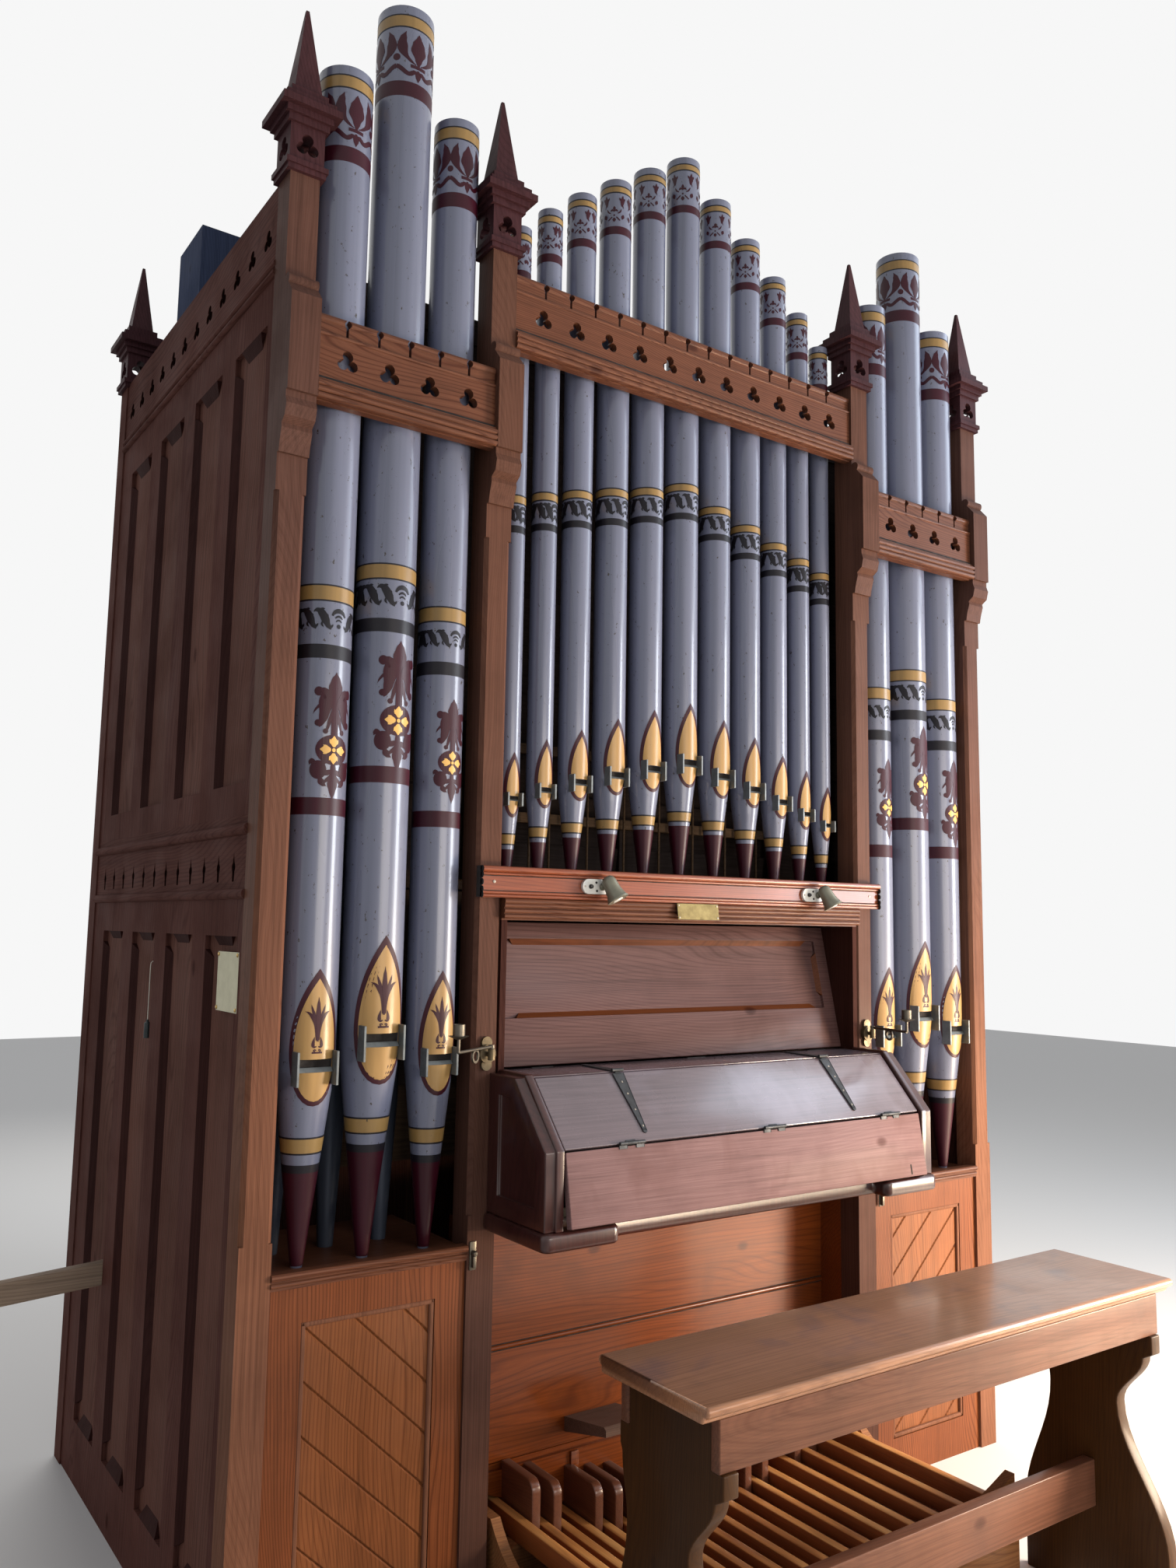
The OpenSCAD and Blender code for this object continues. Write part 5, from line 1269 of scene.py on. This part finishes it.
# Small turned pieces: outline of (radius, height) from the foot, height of the middle, steps
knobs = {
    "plateScrew": ([(2.2, -0.8), (2.2, 0.4)], 0.9, 12),
    "lampKnob": ([(5.5, 0), (5.0, 5), (3.6, 7)], 7.4, 20),
    "lampHole": ([(3, -0.2), (3, 0.2)], 0.2, 14),
    "lampScrew": ([(2.6, -0.3), (2.2, 0.6)], 1.0, 14),
    "impostScrew": ([(4, -0.5), (3.4, 1.2)], 1.8, 16),
    "drawingPin": ([(4, -1.4), (4, 0), (2.6, 1.2)], 1.4, 14),
    "latchKnob": ([(6, 0), (6.5, 9), (4.5, 13)], 13.5, 20),
    "lampBase": ([(9, 0), (9, 3), (6, 9)], 9, 24),
}

namePlate = {
    "x": (-87, 47), "y": (-58.7, -57.5), "z": (1501, 1541), "edge": 0.5, "lean": -8, "inset": 5,
    "screwY": -59.1,
}


def inset(span, by):
    return span[0] + by, span[1] - by


def addNamePlate(s):
    plate, screws = bmesh.new(), bmesh.new()
    block(plate, s["x"], s["y"], s["z"], s["edge"], 1)
    for z in inset(s["z"], s["inset"]):
        for x in inset(s["x"], s["inset"]):
            knob(screws, (x, s["screwY"], z), knobs["plateScrew"], forward)
    for bm in (plate, screws):
        rotate(bm, s["lean"], "X", (0, s["y"][1], sum(s["z"]) / 2))
    meshPiece("blankPlate", plate, "plateBrass")
    meshPiece("plateScrews", screws, "screwSteel", smooth=40)


addNamePlate(namePlate)

lampPlates = {
    "x": (-336, 383), "z": 1574, "half": 22, "r": 17.6, "steps": 40, "thick": 7.6, "backY": -53.3,
    "faceY": -60.9,
    "knobX": -17, "holes": ((-1, 9.5), (1, -10)), "screwX": (-33, 33),
    "impostScrews": ((-612, -53.5, 1577), (612, -53.5, 1577)),
}


# Extrudes all faces of a flat mesh
def thickened(bm, by):
    grown = bmesh.ops.extrude_face_region(bm, geom=bm.faces[:])
    shift(bm, by, [g for g in grown["geom"] if isinstance(g, bmesh.types.BMVert)])


def addLampPlates(s):
    enamel, blacks, screws = bmesh.new(), bmesh.new(), bmesh.new()
    z, face = s["z"], s["faceY"]
    for x in s["x"]:
        part = bmesh.new()
        bmesh.ops.create_circle(part, cap_ends=True, segments=s["steps"], radius=s["r"] * mm)
        for v in part.verts:
            v.co.x += s["half"] * mm * (1 if v.co.x > 0 else -1)
        rotate(part, 90, "X")
        thickened(part, (0, -s["thick"], 0))
        shift(part, (x, s["backY"], z))
        joinInto(enamel, part)
        knob(blacks, (x + s["knobX"], face, z), knobs["lampKnob"], forward)
        for dx, dz in s["holes"]:
            knob(blacks, (x + dx, face, z + dz), knobs["lampHole"], forward)
        for dx in s["screwX"]:
            knob(screws, (x + dx, face, z), knobs["lampScrew"], forward)
    for place in s["impostScrews"]:
        knob(screws, place, knobs["impostScrew"], forward)
    meshPiece("lampPlates", enamel, "whiteEnamel")
    meshPiece("lampKnobs", blacks, "ebonised", smooth=40)
    meshPiece("smallScrews", screws, "screwSteel", smooth=40)


addLampPlates(lampPlates)

notice = {"x": (-1147, -1145.9), "y": (56, 184), "z": (1293, 1416), "edge": 0.3, "inset": 6, "pinX": -1148.4}


def addNotice(s):
    paper, pins = bmesh.new(), bmesh.new()
    block(paper, s["x"], s["y"], s["z"], s["edge"], 1)
    for y in inset(s["y"], s["inset"]):
        for z in inset(s["z"], s["inset"]):
            knob(pins, (s["pinX"], y, z), knobs["drawingPin"], leftward)
    meshPiece("blankNotice", paper, "notePaper")
    meshPiece("drawingPins", pins, "agedBrass", smooth=40)


addNotice(notice)

# Latches of the key desk on the inner posts: x, heights of the plate, the knob and the bar
latches = {
    "rows": ((-632, (740, 800), 776, (746, 772)), (665, (724, 782), 758, (728, 754))),
    "plateHalf": 8, "plateY": (-36.5, -33.2), "plateEdge": 1.2, "knobY": -36,
    "barHalf": 4, "barY": (-46, -36), "barEdge": 1.5,
}


def addLatches(s):
    latch = bmesh.new()
    for x, plateZ, knobZ, barZ in s["rows"]:
        block(latch, about(x, s["plateHalf"]), s["plateY"], plateZ, s["plateEdge"])
        knob(latch, (x, s["knobY"], knobZ), knobs["latchKnob"], forward)
        block(latch, about(x, s["barHalf"]), s["barY"], barZ, s["barEdge"])
    meshPiece("sideLatch", latch, "darkBronze", smooth=35)


addLatches(latches)

print("stage: key desk")

deskBoards = {
    "topY": -139.5, "topZ": 1155, "drop": 186.13, "lidAngle": 47.396, "flapAngle": 80,   # mm and degrees
    "pinOut": 5, "knuckleR": 4, "pinR": 2, "lidKnuckle": 14, "flapKnuckle": 24, "gap": 0.4,
    "lidPinOver": 8, "flapPinOver": 20, "leafX": 21, "lidLeaf": (2, 9), "dropLeaf": (-9, -1),
    "flapLeaf": (1, 8),
    "leafOut": (-0.2, 1.6), "leafEdge": 0.5,
    "strapX": (-330, 330), "strap": (8, 158), "strapHalf": (15, 4.5), "strapOut": (-0.2, 3), "strapEdge": 0.8,
    "strapEndOver": 1.2, "screwsAt": (30, 62, 104, 146), "screwOut": (2.5, 3.9), "screwR": (2.9, 1.8),
    "hingeX": (-380, 40, 440),
    "slitX": (-402, 32, 472), "slitHalf": 32, "slitY": (-136.5, -133.0), "slitZ": (1154.6, 1155.3),
    "cleatX": (-437, 28, 459), "cleatHalf": 30, "cleatY": (2.0, 5.0), "cleatZ": (1154.6, 1156.2),
    "cleatEdge": 0.4,
    "keyhole": (493, 137), "keyholeHalf": (2.2, 12), "keyholeOut": (-0.3, 0.35),
}


# A place on a board that hangs from an edge: along runs down it, out stands off its face
def onBoard(x, along, out, y, z, degrees):
    c, s = math.cos(math.radians(degrees)), math.sin(math.radians(degrees))
    return Vector((x, y - along * c - out * s, z - along * s + out * c))


def onLid(x, along, out):
    return onBoard(x, along, out, deskBoards["topY"], deskBoards["topZ"], deskBoards["lidAngle"])


def onFlap(x, along, out):
    edge = onLid(x, deskBoards["drop"], 0)
    return onBoard(x, along, out, edge.y, edge.z, deskBoards["flapAngle"])


# A small block laid on a board, from spans across it, along it and off its face; it may narrow along it
def laid(bm, place, x, along, out, edge=0.0, narrow=1.0):
    part = bmesh.new()
    bmesh.ops.create_cube(part, size=1)
    for v in part.verts:
        across = (x[1] - x[0]) * v.co.x * (narrow if v.co.y > 0 else 1)
        down = along[0] + (along[1] - along[0]) * (v.co.y + 0.5)
        off = out[0] + (out[1] - out[0]) * (v.co.z + 0.5)
        v.co = place(sum(x) / 2 + across, down, off) * mm
    if edge:
        rounded(part, part.edges[:], edge, 2)
    joinInto(bm, part)


def addLidIron(d):
    lidIron, flapIron, screws = bmesh.new(), bmesh.new(), bmesh.new()

    def hingeBar(bm, x0, x1, along, radius, steps=16):
        rod(bm, onLid(x0, along, d["pinOut"]), onLid(x1, along, d["pinOut"]), radius, steps)

    wide, slim = d["strapHalf"]
    foot, face = d["strapOut"]
    end = d["strap"][1]
    for x in d["strapX"]:
        x0, x1 = about(x, d["lidKnuckle"] / 2)
        hingeBar(lidIron, x0, x1, 0, d["knuckleR"])
        hingeBar(lidIron, x0 - d["lidPinOver"], x1 + d["lidPinOver"], 0, d["pinR"], 12)
        laid(lidIron, onLid, (x0, x1), d["lidLeaf"], (0, face))
        laid(lidIron, onLid, about(x, wide), d["strap"], d["strapOut"], d["strapEdge"], slim / wide)
        rod(lidIron, onLid(x, end, foot), onLid(x, end, face), slim + d["strapEndOver"], 20)
        for at in d["screwsAt"]:
            rod(screws, *(onLid(x, at, out) for out in d["screwOut"]), d["screwR"][0], 16, d["screwR"][1])
    drop = d["drop"]
    for x in d["hingeX"]:
        x0, x1 = about(x, d["flapKnuckle"] / 2)
        hingeBar(lidIron, x0, x1, drop, d["knuckleR"])
        hingeBar(lidIron, x0 - d["flapPinOver"], x1 + d["flapPinOver"], drop, d["pinR"], 12)
        laid(lidIron, onLid, (x0, x1), [drop + at for at in d["dropLeaf"]], d["leafOut"], d["leafEdge"])
        for near, step in ((x0 - d["gap"], -d["leafX"]), (x1 + d["gap"], d["leafX"])):
            hingeBar(flapIron, near, near + step, drop, d["knuckleR"])
            laid(flapIron, onFlap, sorted((near, near + step)), d["flapLeaf"], d["leafOut"], d["leafEdge"])
    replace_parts(meshPiece("lidIron", lidIron, "wroughtIron", "lid", smooth=35), "lid_hinges")
    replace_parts(meshPiece("flapIron", flapIron, "wroughtIron", "flap", smooth=35), "flap_hinges")
    meshPiece("strapScrews", screws, "screwSteel", "lid", "black_iron", 35)


def addDeskSlits(d):
    slits, keyhole = bmesh.new(), bmesh.new()
    # Dark blocks of painted shade in the top strip's slits and cleat places, and in the flap's keyhole
    for x in d["slitX"]:
        block(slits, about(x, d["slitHalf"]), d["slitY"], d["slitZ"])
    for x in d["cleatX"]:
        block(slits, about(x, d["cleatHalf"]), d["cleatY"], d["cleatZ"], d["cleatEdge"], 1)
    meshPiece("topStripSlitShades", slits, "shadowGap")
    x, at = (about(middle, half) for middle, half in zip(d["keyhole"], d["keyholeHalf"]))
    laid(keyhole, onFlap, x, at, d["keyholeOut"])
    meshPiece("flapKeyholeShade", keyhole, "shadowGap", "flap")


addLidIron(deskBoards)
addDeskSlits(deskBoards)

# The music desk's sunk panel: chamfers that stop short of its corners
musicPanel = {
    "lean": 12.71, "footY": 12, "footZ": 1159, "half": 523.5, "low": 110, "high": 297.5, "deep": 10,
    "face": 0.2,
    "wide": 13, "stop": 34,
}


def addMusicPanel(s):
    a = math.radians(s["lean"])
    bm = bmesh.new()

    def onDesk(x, up, sunk):
        return Vector((x, s["footY"] + up * math.sin(a) + sunk * math.cos(a),
                       s["footZ"] + up * math.cos(a) - sunk * math.sin(a)))

    sides = panelSides(-s["half"], s["half"], s["low"], s["high"], s["stop"], s["wide"])
    for (x, up), end, (dx, rise) in sides:
        start = onDesk(x, up, s["deep"])
        chamferStrip(bm, start, onDesk(*end, s["deep"]), onDesk(x + dx, up + rise, s["deep"]) - start,
                     onDesk(x, up, s["face"]) - start, s["wide"])
    meshPiece("musicDeskChamfers", bm, "deskStop")


addMusicPanel(musicPanel)

print("stage: lamps, string and knee boards")

# The two small lamps: a turned shade on an arm, and a faceted glass bowl in its mouth
lampGlass = {
    "shade": ((0.01, -27), (6, -26.6), (11.5, -24.5), (15.5, -20), (17.6, -13), (18, -4), (18.6, 6),
              (20.6, 17), (24, 28), (26.2, 34), (0.01, 32)),
    "x": (-336, 383), "armX": 24, "y": -53.5, "out": 34, "z": 1574, "tilt": 151, "turn": 38, "mouth": 34,
    "r": 24.5,
    "bowl": ((0.86, 0.6), (0.55, 1.6), (0.28, 2.4)),   # shares of r, how far out
    "bowlBack": 2, "bowlTaper": 0.9,
    "rim": (-3.2, 0.7), "rimOver": (1.9, 2.1), "footX": 17, "footY": -7, "armY": -4, "armEnd": 12,
    "armR": 4.6,
}


def addLampGlass(s):
    turn = Matrix.Rotation(math.radians(s["turn"]), 3, "Z") @ Matrix.Rotation(math.radians(s["tilt"]), 3, "X")
    aim = turn @ upright
    glass, rims, shades = bmesh.new(), bmesh.new(), bmesh.new()
    y, z, r = s["y"], s["z"], s["r"]
    for x in s["x"]:
        head = Vector((x + s["armX"], y - s["out"], z))
        mouth = head + aim * s["mouth"]
        for share, deep in s["bowl"]:
            back, front = mouth - aim * s["bowlBack"], mouth + aim * deep
            rod(glass, back, front, r * share, 24, r * share * s["bowlTaper"])
        rod(rims, *(mouth + aim * at for at in s["rim"]), r + s["rimOver"][0], 32, r + s["rimOver"][1])
        turned(shades, head, s["shade"], 40, aim)
        rod(shades, (x + s["footX"], y + s["armY"], z), head - aim * s["armEnd"], s["armR"], 20)
        knob(shades, (x + s["footX"], y + s["footY"], z), knobs["lampBase"], forward)
    meshPiece("lampReflectors", glass, "lampGlass", smooth=30)
    meshPiece("lampRims", rims, "lampGrey", smooth=40)
    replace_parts(meshPiece("lampShades", shades, "lampGrey", smooth=40), "spot_lamps")


addLampGlass(lampGlass)

# A weight on a string through the side wall, which tells the wind in the bellows
tellTale = {
    "x": -1145.5, "y": 694, "holeZ": 1379, "endZ": 1236, "r": 1.1,
    "bend": ((11.5, 0), (4, -1), (0.8, -5)), "fall": 12, "parts": 12,   # from the hole: x and height
    "hole": (11.1, 12.3), "holeR": 3.2,
    "weight": ((6.75, 1192), (7.5, 1194), (7.5, 1228), (3.375, 1232), (3.375, 1236)),
}


def addTellTale(t):
    bob, hole = bmesh.new(), bmesh.new()
    knob(bob, (t["x"], t["y"], 0), (t["weight"], t["endZ"], 24))
    weight = meshPiece("tellTaleWeight", bob, "leadGrey", smooth=35)
    top = t["holeZ"] - t["fall"]
    places = [(t["x"] + dx, t["holeZ"] + dz) for dx, dz in t["bend"]]
    places += [(t["x"], top + (t["endZ"] - top) * k / t["parts"]) for k in range(t["parts"] + 1)]
    path = [Vector((x * mm, t["y"] * mm, z * mm)) for x, z in places]
    curve = bpy.data.curves.new("tellTaleString", "CURVE")
    curve.dimensions = "3D"
    curve.bevel_depth = t["r"] * mm
    curve.bevel_resolution = 3
    curve.use_fill_caps = True
    spline = curve.splines.new("POLY")
    spline.points.add(len(path) - 1)
    for point, at in zip(spline.points, path):
        point.co = (*at, 1)
    curve.materials.append(finishes["whiteString"])
    string = bpy.data.objects.new("tellTaleString", curve)
    bpy.context.scene.collection.objects.link(string)
    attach(string, "case")
    # A dark rod of painted shade for the hole the string passes through
    rod(hole, *((t["x"] + dx, t["y"], t["holeZ"]) for dx in t["hole"]), t["holeR"])
    meshPiece("tellTaleHoleShade", hole, "shadowGap")


addTellTale(tellTale)

# The bead between the two upper knee boards, with dark lines of painted shade above and below it
kneeBead = {"half": 578, "beadY": 111.5, "gapY": (109.5, 110.3), "z": 512, "r": 5.5, "gap": 2.6, "steps": 20}


def addKneeBead(s):
    bead, gapShades = bmesh.new(), bmesh.new()
    rod(bead, (-s["half"], s["beadY"], s["z"]), (s["half"], s["beadY"], s["z"]), s["r"], s["steps"])
    for side in (-1, 1):
        z = s["z"] + side * (s["r"] + s["gap"] / 2)
        block(gapShades, about(0, s["half"]), s["gapY"], about(z, s["gap"] / 2))
    meshPiece("kneeBead", bead, "kneePineAcross", smooth=40)
    meshPiece("kneeBeadShadowLines", gapShades, "shadowGap")


addKneeBead(kneeBead)

# The board behind the pedals, under the knee boards: its foot follows the pedals' curve
pedalBoardBack = {
    "half": 578, "y": 99, "thick": 11.2, "top": 248, "steps": 48, "lift": 105, "rise": 112, "over": 543,
    "middle": 5,
    "batten": ((-276, -254), (91.5, 99.4), (150, 247)), "battenEdge": 1.5,
}


def addPedalBoardBack(s):
    bm = bmesh.new()
    bmesh.ops.create_grid(bm, x_segments=s["steps"], y_segments=1, size=1)
    for v in bm.verts:
        x = s["half"] * v.co.x
        foot = s["lift"] + s["rise"] * min(1, ((x - s["middle"]) / s["over"]) ** 2)
        v.co = Vector((x, s["y"], s["top"] if v.co.y > 0 else foot)) * mm
    thickened(bm, (0, s["thick"], 0))
    block(bm, *s["batten"], s["battenEdge"])
    meshPiece("pedalBackBoard", bm, "kneePineAcross", smooth=30)


addPedalBoardBack(pedalBoardBack)

# Painted shade on the ends of the impost, beside the inner posts: a thin dark plate over each end, with the
# moulding's rolls
impostEnd = {
    "x": 645.5, "thick": 0.8, "y": (-56.5, -33.7), "z": (1542, 1612),
    "rollY": -57.5, "rollZ": (1548, 1560, 1576, 1592, 1605), "rollR": 7.4, "steps": 20,
}


def addImpostEnd(s):
    bm = bmesh.new()
    for side in (-1, 1):
        low, high = sorted((side * s["x"], side * (s["x"] + s["thick"])))
        block(bm, (low, high), s["y"], s["z"])
        for z in s["rollZ"]:
            rod(bm, (low, s["rollY"], z), (high, s["rollY"], z), s["rollR"], s["steps"])
    meshPiece("impostEndShades", bm, "shadowGap", slotName="dark_pine")


addImpostEnd(impostEnd)

print("stage: finish")
